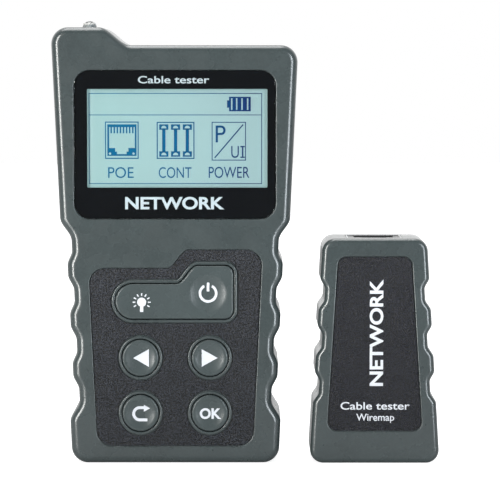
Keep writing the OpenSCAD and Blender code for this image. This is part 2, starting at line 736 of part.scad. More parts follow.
module remote_front_shell() color(shell_grey) at_remote() difference() {
    union() {
        difference() {
            case_half(remote_pts, remote_front, 0, remote_edge_r);
            plate(remote_inner, cut) offset(delta = -remote_wall) polygon(remote_pts);
        }
        for (b = remote_bosses) rod(b, remote_inner - join, 0, remote_boss_r);
    }
    plate(remote_front - cut, remote_front + overlay_t + overlay_gap) polygon(remote_overlay_pts);
    for (b = remote_bosses) rod(b, remote_inner + cut, cut, remote_screw_r + screw_gap);
    remote_port_cut(-jack_d / 2 - port_gap, cut);
}

// Space for the remote's jack, from y0 to y1
module remote_port_cut(y0, y1) block([-jack_w / 2 - port_gap, y0, remote_h - jack_l],
    [jack_w / 2 + port_gap, y1, remote_h + cut]);

module remote_rear_shell() color(shell_grey) at_remote() difference() {
    union() {
        difference() {
            case_half(remote_pts, remote_back, 0, remote_edge_r);
            plate(-cut, remote_back - remote_wall) offset(delta = -remote_wall) polygon(remote_pts);
        }
        for (b = remote_bosses) rod(b, 0, remote_back - cut, remote_boss_r + 0.1);
        for (b = remote_posts) rod(b, remote_board_y + board_t, remote_back - cut, remote_post_r);
    }
    for (b = remote_bosses) {
        rod(b, -cut, remote_back + cut, remote_screw_r + pass_gap);
        rod(b, remote_back - remote_well, remote_back + cut, remote_head_r + pass_gap);
    }
    for (b = remote_posts) rod(b, remote_board_y, remote_back - 0.8, post_screw_r + screw_gap);
    remote_port_cut(-cut, jack_d / 2 + port_gap);
}

module remote_overlay() color(overlay_black) at_remote()
    plate(remote_front + overlay_gap, remote_front + overlay_gap + overlay_t)
        polygon(inset(remote_overlay_pts, overlay_edge_gap));

module remote_board() color(board_green) at_remote()
    plate(remote_board_y, remote_board_y + board_t) difference() {
        translate([-remote_board_half, remote_board_z[0]])
            square([2 * remote_board_half, remote_board_z[1] - remote_board_z[0]]);
        for (b = remote_posts) translate(b) circle(r = post_screw_r + pass_gap);
    }

module at_remote_jack() translate([remote_x, remote_y, remote_h]) children();
module remote_jack_shield() at_remote_jack() jack_shield();
module remote_jack_insert() at_remote_jack() jack_insert();
module remote_jack_contacts() at_remote_jack() jack_contacts();

// One small diode for each of the eight wires, in two rows on the board's front
module remote_diodes() color(chip_black) at_remote() for (i = [0:3], row = [0, 1])
    translate([diode_at[0] + diode_pitch * i, remote_board_y - diode_size[1], diode_at[1] + diode_row * row])
        cube(diode_size);

module remote_case_screws() color(tin) at_remote() for (b = remote_bosses)
    screw(b, remote_inner + 1.4, remote_back - remote_well, remote_screw_r, remote_head_r, remote_head_h);

module remote_board_screws() color(tin) at_remote() for (b = remote_posts) mirror([0, 1, 0])
    screw(b, -remote_back + 1.4, -remote_board_y, post_screw_r, remote_head_r, 1);

front_shell();
rear_shell();
display_lens();
display_mask();
lcd_panel();
lcd_backlight();
lcd_ribbon();
main_board();
keypad_overlay();
key_switches();
microcontroller();
power_inductor();
board_capacitors();
buzzer();
port_a_shield();
port_a_insert();
port_a_contacts();
port_b_shield();
port_b_insert();
port_b_contacts();
torch_led();
torch_leads();
torch_holder();
battery_1();
battery_2();
battery_3();
battery_springs();
battery_plates();
case_screws();
board_screws();
light_power_key();
light_plunger();
power_plunger();
left_key();
left_plunger();
right_key();
right_plunger();
back_key();
back_plunger();
ok_key();
ok_plunger();
battery_door();
remote_front_shell();
remote_rear_shell();
remote_overlay();
remote_board();
remote_jack_shield();
remote_jack_insert();
remote_jack_contacts();
remote_diodes();
remote_case_screws();
remote_board_screws();
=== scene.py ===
# %% [markdown]
# # A network cable tester and its remote
#
# The real instrument is two grey plastic units. The tall one has a small screen, a rubbery keypad,
# a torch on its shoulder and two jacks on top. The short one is the far end of a cable under test.
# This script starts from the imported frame, which holds every piece at its true size and place, and
# builds finer surfaces over the pieces that show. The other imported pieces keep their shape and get
# a finish. Lengths below are millimetres until they go into a mesh, because a maker thinks in them.

import bmesh
import bpy
import numpy as np
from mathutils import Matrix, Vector
from mathutils.geometry import delaunay_2d_cdt


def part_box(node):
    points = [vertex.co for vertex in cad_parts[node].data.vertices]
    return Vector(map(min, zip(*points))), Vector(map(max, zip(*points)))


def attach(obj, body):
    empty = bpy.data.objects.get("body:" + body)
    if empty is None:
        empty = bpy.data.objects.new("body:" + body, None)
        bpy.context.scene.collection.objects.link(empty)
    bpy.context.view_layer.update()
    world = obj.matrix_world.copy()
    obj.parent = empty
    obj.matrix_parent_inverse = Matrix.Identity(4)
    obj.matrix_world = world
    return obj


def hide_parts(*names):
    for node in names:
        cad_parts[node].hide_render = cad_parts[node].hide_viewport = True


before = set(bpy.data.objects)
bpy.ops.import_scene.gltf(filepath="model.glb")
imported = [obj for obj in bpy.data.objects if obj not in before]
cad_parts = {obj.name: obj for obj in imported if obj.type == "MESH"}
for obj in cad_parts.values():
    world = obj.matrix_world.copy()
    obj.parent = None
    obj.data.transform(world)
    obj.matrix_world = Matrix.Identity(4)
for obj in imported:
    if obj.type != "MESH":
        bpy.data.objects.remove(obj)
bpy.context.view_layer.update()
MM = 0.001


def box_of(node):
    """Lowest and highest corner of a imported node, in millimetres."""
    low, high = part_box(node)
    return np.array(low) / MM, np.array(high) / MM


def add_object(name, data):
    """A new object that holds the data, linked to the scene."""
    made = bpy.data.objects.new(name, data)
    bpy.context.scene.collection.objects.link(made)
    return made


print("packed nodes:", len(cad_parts))

# %% [markdown]
# ## Flat paths
#
# Most pieces of a moulded instrument are a flat outline carried from front to back, with a small
# radius at the edge. So the first tools make closed outlines in the X and Z plane. A path is an
# array of points that runs counter-clockwise seen from the front, evenly spaced so that its
# sideways direction can be read from its two neighbours.

# %% Arcs, evenly spaced paths and offsets
def ease(t):
    """Half a cosine: 0 before t = 0, 1 after t = 1, and level at both ends."""
    return (1 - np.cos(np.pi * np.clip(t, 0, 1))) / 2


def arc(cx, cz, radius, start, stop, count=24):
    """Points at centre + radius (cos a, sin a) for angles a from start to stop, in degrees."""
    turn = np.radians(np.linspace(start, stop, count))
    return np.stack([cx + radius * np.cos(turn), cz + radius * np.sin(turn)], -1)


def even(parts, step):
    """The path through the parts, closed, with equal steps read off at equal lengths along it."""
    points = np.vstack(parts)
    loop = np.vstack([points, points[:1]])
    along = np.concatenate([[0], np.cumsum(np.linalg.norm(np.diff(loop, axis=0), axis=1))])
    marks = np.linspace(0, along[-1], max(12, round(along[-1] / step)), endpoint=False)
    return np.stack([np.interp(marks, along, loop[:, k]) for k in (0, 1)], -1)


def outward(path):
    """The unit sideways direction at each point, square to the line between its neighbours."""
    run = np.roll(path, -1, 0) - np.roll(path, 1, 0)
    return np.stack([run[:, 1], -run[:, 0]], -1) / np.linalg.norm(run, axis=1)[:, None]


def grow(path, by):
    """The path moved outwards by a distance, or inwards where it is negative."""
    return path + by * outward(path)


def round_box(x0, x1, z0, z1, radius, step=0.3):
    """A rectangle with round corners."""
    left, right, foot, top = x0 + radius, x1 - radius, z0 + radius, z1 - radius
    return even([arc(right, foot, radius, -90, 0), arc(right, top, radius, 0, 90),
                 arc(left, top, radius, 90, 180), arc(left, foot, radius, 180, 270)], step)


def circle(cx, cz, radius, count=64):
    """A full circle without its repeated last point."""
    return arc(cx, cz, radius, 0, 360, count + 1)[:-1]


# %% [markdown]
# ## The wavy outlines
#
# Both cases taper down their sides and have finger grooves. A groove is not a circle: the side
# line is pushed in by half a cosine, which gives a soft valley and a soft crest between valleys.
# The same formula with other numbers makes the remote's three tighter grooves.

# %% Outline of each case
def groove(z, low, pitch, count, flat, ramp, last, valley, crest):
    """Depth below the straight side at height z. Between valleys the depth eases from valley to
    crest over ramp; beyond the first and last valley it eases to nothing over last."""
    high = low + (count - 1) * pitch
    over = (z - low) % pitch
    near = np.minimum(over, pitch - over)
    between = valley - (valley - crest) * ease((near - flat) / ramp)
    above = valley * (1 - ease((z - high - flat) / last))
    below = valley * (1 - ease((low - z - flat) / last))
    return np.where(z > high, above, np.where(z < low, below, between))


front_low, front_high = box_of("front_shell")
hump_top = front_high[2]
case_front, seam = front_low[1] + 0.3, front_high[1]
case_back = box_of("rear_shell")[1][1]
hump_rise = 5.3
flat_top = hump_top - hump_rise
head_half, head_z, case_lean, case_corner = 36.4, 120.3, 0.0466, 5.0


def case_half(z):
    """Half width of the handset: a straight taper less its grooves."""
    depth = groove(z, low=20.5, pitch=14.87, count=4, flat=1.35, ramp=4.7, last=6.85, valley=3.06, crest=1.5)
    return head_half - case_lean * (head_z - z) - depth


hump_x, hump_run = -13.0, 9.6


def case_path(step=0.4):
    """The handset from the front, with a torch hump that rises from the flat top by half a cosine."""
    r, lean = case_corner, np.degrees(np.arctan(case_lean))
    z = np.arange(r, flat_top - r * (1 + case_lean) - 0.1, 0.1)
    up = np.linspace(0, 1, 60)
    return even([
        arc(case_half(r) - r, r, r, -90, -lean), np.stack([case_half(z), z], -1),
        arc(case_half(flat_top - r) - r, flat_top - r, r, -lean, 90),
        np.stack([hump_x - hump_run * up, flat_top + hump_rise * ease(up)], -1),
        arc(r - case_half(hump_top - r), hump_top - r, r, 90, 180 + lean),
        np.stack([-case_half(z[::-1]), z[::-1]], -1), arc(r - case_half(r), r, r, 180 + lean, 270)], step)


remote_low, remote_high = box_of("remote_front_shell")
remote_x = (remote_low[0] + remote_high[0]) / 2
remote_front, remote_seam, remote_top = remote_low[1], *remote_high[1:]
remote_back = box_of("remote_rear_shell")[1][1]
remote_foot_half, remote_foot_z, remote_lean, remote_corner = 19.2, 4.2, 0.059, 3.9


def remote_half(z):
    """Half width of the remote: wider at the foot, with three grooves."""
    depth = groove(z, low=22.8, pitch=13.87, count=3, flat=1.4, ramp=3.6, last=3.6, valley=1.56, crest=0)
    return remote_foot_half - remote_lean * (z - remote_foot_z) - depth


def remote_path(step=0.3):
    """The remote from the front."""
    r, lean = remote_corner, np.degrees(np.arctan(remote_lean))
    z, top = np.arange(r * (1 + remote_lean) + 0.1, remote_top - r, 0.1), remote_top - r
    shape = np.vstack([
        arc(remote_half(r) - r, r, r, -90, lean), np.stack([remote_half(z), z], -1),
        arc(remote_half(top) - r, top, r, lean, 90), arc(r - remote_half(top), top, r, 90, 180 - lean),
        np.stack([-remote_half(z[::-1]), z[::-1]], -1), arc(r - remote_half(r), r, r, 180 - lean, 270)])
    return even(shape + [remote_x, 0], step)


print("handset outline:", len(case_path()), "points; remote outline:", len(remote_path()))

# %% [markdown]
# ## Skins
#
# A moulding is one closed skin: side walls, rounded edges, floors of recesses and the inside. Each
# wall is a profile carried along a path, and each flat floor is the region between paths, cut into
# triangles. Because walls and floors share their points exactly, merging the doubles afterwards
# closes the skin. That is simpler to control than cutting one solid with another.

# %% Carry a profile round a path, and fill between paths
def carry(path, profile):
    """Rings of points: row k is the path moved inwards by profile[k][0], at depth y = profile[k][1]."""
    profile = np.vstack(profile)
    flat = path[None] - profile[:, 0, None, None] * outward(path)[None]
    depth = np.broadcast_to(profile[:, 1, None], flat.shape[:2])
    return np.stack([flat[..., 0], depth, flat[..., 1]], -1)


def bend(start, stop, first, count=7):
    """A quarter turn in a profile from start to stop. It sets off along y or along x, and the
    other coordinate follows as one minus the cosine."""
    turn = np.linspace(0, np.pi / 2, count)[:, None]
    (x0, y0), (x1, y1) = start, stop
    fast, slow = np.sin(turn), 1 - np.cos(turn)
    along_x, along_y = (fast, slow) if first == "x" else (slow, fast)
    return np.hstack([x0 + (x1 - x0) * along_x, y0 + (y1 - y0) * along_y])


def flat_of(ring):
    """A ring without its depth: the flat path it was carried from."""
    return ring[:, [0, 2]]


def rims(pieces):
    """The flat path on which each carried wall begins."""
    return [flat_of(rings[0]) for rings in pieces]


def inside(points, loops):
    """True where a line to the right of the point crosses the loops an odd number of times."""
    a = np.concatenate(loops)
    b = np.concatenate([np.roll(loop, -1, 0) for loop in loops])
    x, z = points[:, :1], points[:, 1:]
    crossed = (a[:, 1] > z) != (b[:, 1] > z)
    rise = np.where(crossed, b[:, 1] - a[:, 1], 1)
    return (crossed & (x < a[:, 0] + (z - a[:, 1]) * (b[:, 0] - a[:, 0]) / rise)).sum(1) % 2 == 1


SLIVER = 1e-5  # square millimetres, twice a triangle's area
SAME_PLACE = 2e-6  # metres between points that are one


class Skin:
    """Walls and floors of one piece, gathered in millimetres."""

    def __init__(self):
        self.points, self.faces, self.level, self.total = [], [], [], 0

    def add(self, points, faces, level=False):
        """level faces are shaded flat, so that thin triangles on them can't bend the light."""
        self.points.append(points)
        self.faces += (np.asarray(faces) + self.total).tolist()
        self.level += [level] * len(faces)
        self.total += len(points)

    def wall(self, rings):
        """Quads between neighbouring rings, closed all the way round."""
        rows, count = rings.shape[:2]
        i, j = np.meshgrid(np.arange(rows - 1), np.arange(count), indexing="ij")
        k = (j + 1) % count
        quads = np.stack([i * count + j, i * count + k, (i + 1) * count + k, (i + 1) * count + j], -1)
        self.add(rings.reshape(-1, 3), quads.reshape(-1, 4))
        return flat_of(rings[-1])

    def floor(self, loops, depth, grid=0):
        """Triangles over the region inside an odd number of loops. depth is one y, or a function of
        the points; grid adds points inside, that far apart, so that a curved floor stays smooth.
        Blender's triangulation works in single precision, so the loops are rounded to it first,
        and the slivers it leaves along straight sides are left out by their area."""
        loops = [np.asarray(loop, np.float32).astype(float) for loop in loops]
        points = np.concatenate(loops)
        starts = np.cumsum([0] + [len(loop) for loop in loops])
        edges = [(s + i, s + (i + 1) % (e - s)) for s, e in zip(starts, starts[1:]) for i in range(e - s)]
        if grid:
            low, high = points.min(0), points.max(0)
            axes = [np.arange(low[k] + grid / 2, high[k], grid) for k in (0, 1)]
            dots = np.stack(np.meshgrid(*axes), -1).reshape(-1, 2)
            dots = dots[inside(dots, loops)]
            if len(dots):
                gap = np.linalg.norm(dots[:, None] - points[None], axis=2).min(1)
                points = np.concatenate([points, dots[gap > grid * 0.4]])
        out = delaunay_2d_cdt([Vector(p) for p in points.tolist()], edges, [], 0, 1e-7)
        flat = np.array([list(v) for v in out[0]])
        triangles = np.array(out[2])
        triangles = triangles[inside(flat[triangles].mean(1), loops)]
        (ax, az), (bx, bz) = [(flat[triangles[:, k]] - flat[triangles[:, 0]]).T for k in (1, 2)]
        triangles = triangles[np.abs(ax * bz - az * bx) > SLIVER]
        y = depth(flat) if callable(depth) else np.full(len(flat), float(depth))
        self.add(np.stack([flat[:, 0], y, flat[:, 1]], -1), triangles, level=not grid)


def make_piece(name, skin, body, slot, material, replaced=(), crease=35):
    """Puts a skin into a mesh: doubles merged, faces turned outwards, edges sharper than crease
    degrees kept sharp. The object stays at the origin and rides on its body."""
    mesh = bpy.data.meshes.new(name)
    mesh.from_pydata((np.concatenate(skin.points) * MM).tolist(), [], skin.faces)
    mesh.polygons.foreach_set("use_smooth", ~np.array(skin.level, bool))
    work = bmesh.new()
    work.from_mesh(mesh)
    bmesh.ops.remove_doubles(work, verts=work.verts, dist=SAME_PLACE)
    bmesh.ops.recalc_face_normals(work, faces=work.faces)
    open_edges = sum(not e.is_manifold for e in work.edges)
    work.to_mesh(mesh)
    work.free()
    mesh.set_sharp_from_angle(angle=np.radians(crease))
    mesh.materials.append(material)
    piece = add_object(name, mesh)
    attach(piece, body)
    if replaced:
        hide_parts(*replaced)
    print(f"{name}: {len(mesh.polygons)} faces, {open_edges} open edges")
    return piece


# %% [markdown]
# ## Finishes
#
# Every finish is worked out from the surface's own place in space, so it needs no picture and
# doesn't slide. A moulded plastic is a colour, a roughness and a fine relief. The relief of spark
# eroded tool steel is a noise with a grain of a few tenths of a millimetre.

# %% Tools for node materials
def new_material(name, colour, roughness, metallic=0.0, **sockets):
    """A Principled surface with fixed values on its own sockets."""
    material = bpy.data.materials.new(name)
    material.use_nodes = True
    shader = material.node_tree.nodes["Principled BSDF"]
    values = {"Base Color": (*colour, 1), "Roughness": roughness, "Metallic": metallic, **sockets}
    for socket, value in values.items():
        shader.inputs[socket].default_value = value
    return material, material.node_tree, shader


def node(tree, kind, links=None, **settings):
    """A shader node with its settings, and its inputs linked from other sockets or set to values."""
    made = tree.nodes.new("ShaderNode" + kind)
    for key, value in settings.items():
        setattr(made, key, value)
    for key, value in (links or {}).items():
        if isinstance(value, bpy.types.NodeSocket):
            tree.links.new(value, made.inputs[key])
        else:
            made.inputs[key].default_value = value
    return made


def feed(shader, name, value):
    """Drives one of the shader's sockets by another socket."""
    shader.id_data.links.new(value, shader.inputs[name])


def noise(tree, grain, detail=2.0, roughness=0.5, stretch=(1, 1, 1)):
    """Noise on the object's own coordinates, its lumps about grain millimetres across."""
    place = node(tree, "TexCoord").outputs["Object"]
    scaled = node(tree, "Mapping", {"Vector": place, "Scale": stretch}).outputs["Vector"]
    return node(tree, "TexNoise", {
        "Vector": scaled, "Scale": 1 / (grain * MM), "Detail": detail, "Roughness": roughness}).outputs["Fac"]


def ramp(tree, value, stops):
    """Colours or greys along a value from 0 to 1."""
    made = node(tree, "ValToRGB", {"Fac": value})
    band = made.color_ramp
    while len(band.elements) < len(stops):
        band.elements.new(0.5)
    for element, (at, colour) in zip(band.elements, stops):
        element.position = at
        element.color = (*colour, 1) if hasattr(colour, "__len__") else (colour, colour, colour, 1)
    return made.outputs["Color"]


def relief(tree, shader, height, depth):
    """Roughens the surface's direction by a height of so many millimetres."""
    bumped = node(tree, "Bump", {"Height": height, "Strength": 1.0, "Distance": depth * MM})
    feed(shader, "Normal", bumped.outputs["Normal"])


def shade(colour, factor):
    """A colour made lighter or darker."""
    return tuple(min(1.0, c * factor) for c in colour)


def moulded(name, colour, roughness, grain=0.35, depth=0.02, mottle=0.08, speck=0.12, spread=0.2, gloss=0.5):
    """Moulded plastic: slow mottling and fine specks in the colour, a grain in the relief, and a
    roughness that wanders a little, as handling leaves it. A small spread makes the specks crisp."""
    material, tree, shader = new_material(name, colour, roughness, **{"Specular IOR Level": gloss})
    slow = ramp(tree, noise(tree, 14), [(0.3, shade(colour, 1 - mottle)), (0.7, shade(colour, 1 + mottle))])
    fine = ramp(tree, noise(tree, grain, 1), [(0.5 - spread, 1 - speck), (0.5 + spread, 1 + speck)])
    mixed = node(tree, "Mix", {"Factor": 1}, data_type="RGBA", blend_type="MULTIPLY")
    tree.links.new(slow, mixed.inputs[6])
    tree.links.new(fine, mixed.inputs[7])
    feed(shader, "Base Color", mixed.outputs[2])
    wander = ramp(tree, noise(tree, 6, 3), [(0.3, roughness * 0.9), (0.7, min(1, roughness * 1.1))])
    feed(shader, "Roughness", wander)
    relief(tree, shader, noise(tree, grain, 2), depth)
    return material


# %% Finishes of the cases, films and keys
case_grey = moulded("case_grey", (0.0385, 0.051, 0.052), 0.28, grain=0.45, depth=0.008, gloss=0.9)
key_grey = moulded("key_grey", (0.052, 0.066, 0.067), 0.27, grain=0.6, depth=0.003, speck=0.05)
film_grain = dict(grain=0.48, depth=0.5, mottle=0.1, speck=1.0, spread=0.07)
film_black = moulded("film_black", (0.0088, 0.0104, 0.0142), 0.5, gloss=0.38, **film_grain)
remote_film_black = moulded("remote_film_black", (0.0028, 0.0034, 0.0068), 0.45, gloss=0.36, **film_grain)
print_white = moulded("print_white", (0.63, 0.65, 0.69), 0.5, grain=0.2, depth=0.002, mottle=0.02, speck=0.02)
jack_black = moulded("jack_black", (0.012, 0.012, 0.013), 0.4, grain=0.5, depth=0.01)
chip_black = moulded("chip_black", (0.013, 0.013, 0.015), 0.55, grain=0.3, depth=0.01)
milky_white = moulded("milky_white", (0.60, 0.60, 0.58), 0.45, grain=1, depth=0.004, mottle=0.03, speck=0.02)
mask_black = moulded("mask_black", (0.0013, 0.0019, 0.0034), 0.35, grain=0.5, depth=0.001, mottle=0.1,
                     speck=0.05, gloss=0.05)
print("a body colour of", case_grey.name, "and two films")

# %% [markdown]
# ## The handset's front shell
#
# The front shell carries everything the user sees. From the outside in, its skin is: the seam with
# a fine chamfer, the side wall, the rounded edge, the flat face, then the recess for the screen
# window, the recess for the keypad film, and one raised collar round each key. Its inside follows
# at wall thickness, with screw tubes that stand up to the seam.

# %% Sizes shared by the front pieces
wall, edge = 2.2, 2.3
inner_front = case_front + wall
lens_low, lens_high = box_of("display_lens")
lens_gap = 0.15
recess_floor = box_of("display_mask")[1][1]
film_floor = case_front + 0.5
collar_top, collar_width, key_gap = case_front - 0.3, 0.82, 0.28
key_radius = 5.43
keys = {name: box_of(name + "_key") for name in ("left", "right", "back", "ok")}
key_centres = {name: (low + high)[[0, 2]] / 2 for name, (low, high) in keys.items()}
screw_places = [(30.9, 117.2), (-30.9, 113.5), (25.4, 6.6), (-25.4, 6.6)]


def rocker_path(step=0.25):
    """The light and power key: a round left end, a step up, and a taller square right end."""
    left, right, foot, low_top, top, r = -17.75, 17.35, 43.3, 53.7, 59.1, 2.6
    half, t = (low_top - foot) / 2, np.linspace(1, 0, 30)
    return even([
        arc(right - r, foot + r, r, -90, 0), arc(right - r, top - r, r, 0, 90),
        np.stack([0.2 + 6.5 * t, low_top + (top - low_top) * ease(t)], -1),
        arc(left + half, foot + half, half, 90, 270, 40)], step)


def film_path(step=0.35):
    """The keypad film: sides along the case's taper, and a step up to the right."""
    foot, left_top, right_top, r = 5.1, 58.5, 64.0, 4.8
    lean, t = np.degrees(np.arctan(case_lean)), np.linspace(1, 0, 30)

    def corner(way, z, start, stop):
        """A round corner on the left (way -1) or the right (1) side at height z."""
        half = head_half - case_lean * (head_z - z) - 7.8
        return arc(way * (half - r), z, r, start, stop)

    return even([
        corner(1, foot + r, -90, -lean), corner(1, right_top - r, -lean, 90),
        np.stack([-2.5 + 6.6 * t, left_top + (right_top - left_top) * ease(t)], -1),
        corner(-1, left_top - r, 90, 180 + lean), corner(-1, foot + r, 180 + lean, 270)], step)


lens_path = round_box(lens_low[0] - lens_gap, lens_high[0] + lens_gap,
                      lens_low[2] - lens_gap, lens_high[2] + lens_gap, 4.8)
key_holes = [circle(*centre, key_radius + key_gap, 72) for centre in key_centres.values()]
key_holes.append(grow(rocker_path(), key_gap))

# %% What every half shell shares
def half_shell(case, face, edge, chamfer, flat, count):
    """A skin begun with its outside: from the inner rim of the seam over a fine chamfer, up the
    side, round the edge, and flat on the face. Gives the skin and the path where it stopped. A case
    is its outline, its inner outline, its wall and its seam."""
    outline, _, wall, seam = case
    way, skin = np.sign(face - seam), Skin()
    profile = [[(wall, seam), (chamfer, seam), (0, seam + way * chamfer)],
                         bend((0, face - way * edge), (edge, face), "y", count), [(edge + flat, face)]]
    return skin, skin.wall(carry(outline, profile))


def close_front(skin, case, holes, floor, places, radius, bore, count):
    """The inside of a front shell: its floor with a screw tube at each place, up to the seam."""
    outline, inner, wall, seam = case
    tube = [(0, floor), (0, seam), (bore, seam), (bore, floor + 1)]
    tubes = [carry(circle(x, z, radius, count), tube) for x, z in places]
    skin.floor([inner] + holes + rims(tubes), floor)
    for rings in tubes:
        skin.floor([skin.wall(rings)], floor + 1)
    skin.wall(carry(outline, [(wall, floor), (wall, seam)]))


def screw_wells(places, back, seam, floor, radius, soft, deep, ledge, count):
    """Wells for the screws of a rear shell: in to the screw's seat, then a bore to the seam."""
    well = [bend((-soft, back), (0, back - soft), "x", 4),
                      [(0, back - deep), (ledge, back - deep), (ledge, seam), (-0.1, seam), (-0.1, floor)]]
    return [carry(circle(x, z, radius, count), well) for x, z in places]


# %% Front shell
outer, inner = case_path(), grow(case_path(), -wall)
handset = (outer, inner, wall, seam)
front, face = half_shell(handset, case_front, edge, chamfer=0.14, flat=0.2, count=12)
hole_edge = bend((-0.2, case_front), (0, case_front + 0.2), "x", 4)
lens_wall = carry(lens_path, [[(-0.5, case_front)], hole_edge, [(0, recess_floor)]])
film_wall = carry(film_path(), [[(-0.5, case_front)], hole_edge, [(0, film_floor)]])
lens_floor, film_floor_edge = front.wall(lens_wall), front.wall(film_wall)
front.floor([face] + rims([lens_wall, film_wall]), case_front)
ledge = round_box(-27, 28.4, 81.8, 113.2, 1)  # the opening for the panel, inside the window's ledge
front.floor([lens_floor, ledge], recess_floor)
collar = [
    [(-collar_width, film_floor)],
    bend((-collar_width, collar_top + 0.3), (0.3 - collar_width, collar_top), "y", 6),
    bend((-0.2, collar_top), (0, collar_top + 0.2), "x", 5), [(0, inner_front)]]
collar_rings = [carry(hole, collar) for hole in key_holes]
front.floor([film_floor_edge] + rims(collar_rings), film_floor)
through = [front.wall(rings) for rings in collar_rings]
through.append(front.wall(carry(ledge, [(0, recess_floor), (0, inner_front)])))
close_front(front, handset, through, inner_front, screw_places, radius=2.7, bore=1.45, count=32)
front_case = make_piece("front_case", front, "handset", "shell_plastic", case_grey, ["front_shell"])

# %% [markdown]
# The jacks and the torch come through the top wall, across the seam. Here a solid cutter is the
# better tool, because the holes cross the carried walls: a box is taken out of both shells.

# %% Cutters for the top wall
def cutter(low, high, round_bar=False):
    """A box, or the upright round bar that fits in it, to cut with. It is removed after use."""
    low, high = np.array(low) * MM, np.array(high) * MM
    work = bmesh.new()
    if round_bar:
        bmesh.ops.create_cone(work, cap_ends=True, segments=64, radius1=0.5, radius2=0.5, depth=1)
    else:
        bmesh.ops.create_cube(work, size=1)
    mesh = bpy.data.meshes.new("cutter")
    work.to_mesh(mesh)
    work.free()
    spots = np.empty(len(mesh.vertices) * 3)
    mesh.vertices.foreach_get("co", spots)
    mesh.vertices.foreach_set("co", ((spots.reshape(-1, 3) + 0.5) * (high - low) + low).ravel())
    return add_object("cutter", mesh)


def cut(piece, boxes):
    """Takes each cutter's solid out of the piece, and keeps the result as its mesh."""
    for box in boxes:
        step = piece.modifiers.new("hole", "BOOLEAN")
        step.operation, step.solver, step.object = "DIFFERENCE", "EXACT", box
    graph = bpy.context.evaluated_depsgraph_get()
    mesh = bpy.data.meshes.new_from_object(piece.evaluated_get(graph))
    piece.modifiers.clear()
    piece.data = mesh
    for box in boxes:
        bpy.data.objects.remove(box)
    mesh.set_sharp_from_angle(angle=np.radians(35))
    print(f"{piece.name} after cutting: {len(mesh.polygons)} faces")


def port_cutter(node_name, top):
    """A box a little larger than a jack's shield, up through the top wall."""
    low, high = box_of(node_name)
    return cutter([low[0] - 0.2, low[1] - 0.2, top - 6], [high[0] + 0.2, high[1] + 0.2, top + 8])


ports = ("port_a_shield", "port_b_shield")
cut(front_case, [port_cutter(port, flat_top) for port in ports])

# %% [markdown]
# ## The handset's rear shell
#
# The back has the same outline. Its skin goes from the seam over a rounded edge to the flat back,
# with four deep wells for the screws, a shallow recess for the battery door, and the battery bay
# behind it. The bay is a box that hangs inside the shell, so its outside is part of the skin too.

# %% Rear shell
door_top = box_of("battery_door")[1][2]
bay_low_z, bay_high_z, bay_half, bay_floor, bay_wall = 15.5, 65.5, 16.9, 2.2, 1.5
door_half, door_gap, door_thick = 19.3, 0.3, 2.0
door_foot = 12.8
recess = case_back - door_thick
inner_back = case_back - wall
rear, rear_face = half_shell(handset, case_back, edge, chamfer=0.14, flat=0.2, count=12)
hole_side = door_half + door_gap
door_hole = round_box(-hole_side, hole_side, door_foot - door_gap, door_top + door_gap, 1)
door_wall = carry(door_hole, [
    [(-0.5, case_back)], bend((-0.25, case_back), (0, case_back - 0.25), "x", 4), [(0, recess)]])
wells = screw_wells(screw_places, case_back, seam, inner_back,
                    radius=2.6, soft=0.25, deep=7.8, ledge=1.2, count=40)
rear.floor([rear_face] + rims([door_wall] + wells), case_back)
bay = round_box(-bay_half, bay_half, bay_low_z, bay_high_z, 0.6)
rear.floor([rear.wall(door_wall), bay], recess)
rear.floor([rear.wall(carry(bay, [(0, recess), (0, bay_floor)]))], bay_floor)
bay_outside, pad = grow(bay, bay_wall), round_box(-21.4, 21.4, 10.4, 70.6, 2)
pad_depth, bay_skin = recess - 1.4, bay_floor - bay_wall
rear.floor([rear.wall(carry(bay_outside, [(0, pad_depth), (0, bay_skin)]))], bay_skin)
rear.floor([rear.wall(carry(pad, [(0, inner_back), (0, pad_depth)])), bay_outside], pad_depth)
rear.floor([inner, pad] + [rear.wall(rings) for rings in wells], inner_back)
rear.wall(carry(outer, [(wall, inner_back), (wall, seam)]))
rear_case = make_piece("rear_case", rear, "handset", "shell_plastic", case_grey, ["rear_shell"])

# %% Holes of the rear shell
torch_low, torch_high = box_of("torch_led")
torch_x, torch_y = (torch_low + torch_high)[:2] / 2
torch_radius = 2.2
hole_half = torch_radius + 0.12
thumb = cutter([-5.8, recess, door_foot - 2.1], [5.8, case_back + 1, door_foot])
torch_hole = cutter([torch_x - hole_half, torch_y - hole_half, hump_top - 6],
                    [torch_x + hole_half, torch_y + hole_half, hump_top + 1], round_bar=True)
cut(rear_case, [port_cutter(port, flat_top) for port in ports] + [thumb, torch_hole])

# %% [markdown]
# ## The screen
#
# The window is a clear acrylic plate, flush in its recess, with black print behind it that leaves
# the liquid-crystal panel showing. Clear plates are a mix of a see-through and a mirror-like
# surface, weighed by how glancing the look is, which is quick and has no dark noise inside.

# %% Clear finishes
def clear(name, tint, clarity):
    """See-through with a gloss that grows at glancing angles."""
    material = bpy.data.materials.new(name)
    material.use_nodes = True
    tree = material.node_tree
    tree.nodes.remove(tree.nodes["Principled BSDF"])
    through = node(tree, "BsdfTransparent", {"Color": (*tint, 1)}).outputs["BSDF"]
    gloss = node(tree, "BsdfGlossy", {"Color": (1, 1, 1, 1), "Roughness": 0.02}).outputs["BSDF"]
    weight = node(tree, "Fresnel", {"IOR": clarity}).outputs["Fac"]
    mixed = node(tree, "MixShader", {0: weight, 1: through, 2: gloss}).outputs["Shader"]
    tree.links.new(mixed, tree.nodes["Material Output"].inputs["Surface"])
    return material


window_clear = clear("window_clear", (0.93, 0.96, 0.96), 1.45)
torch_clear = clear("torch_clear", (0.80, 0.83, 0.85), 1.5)

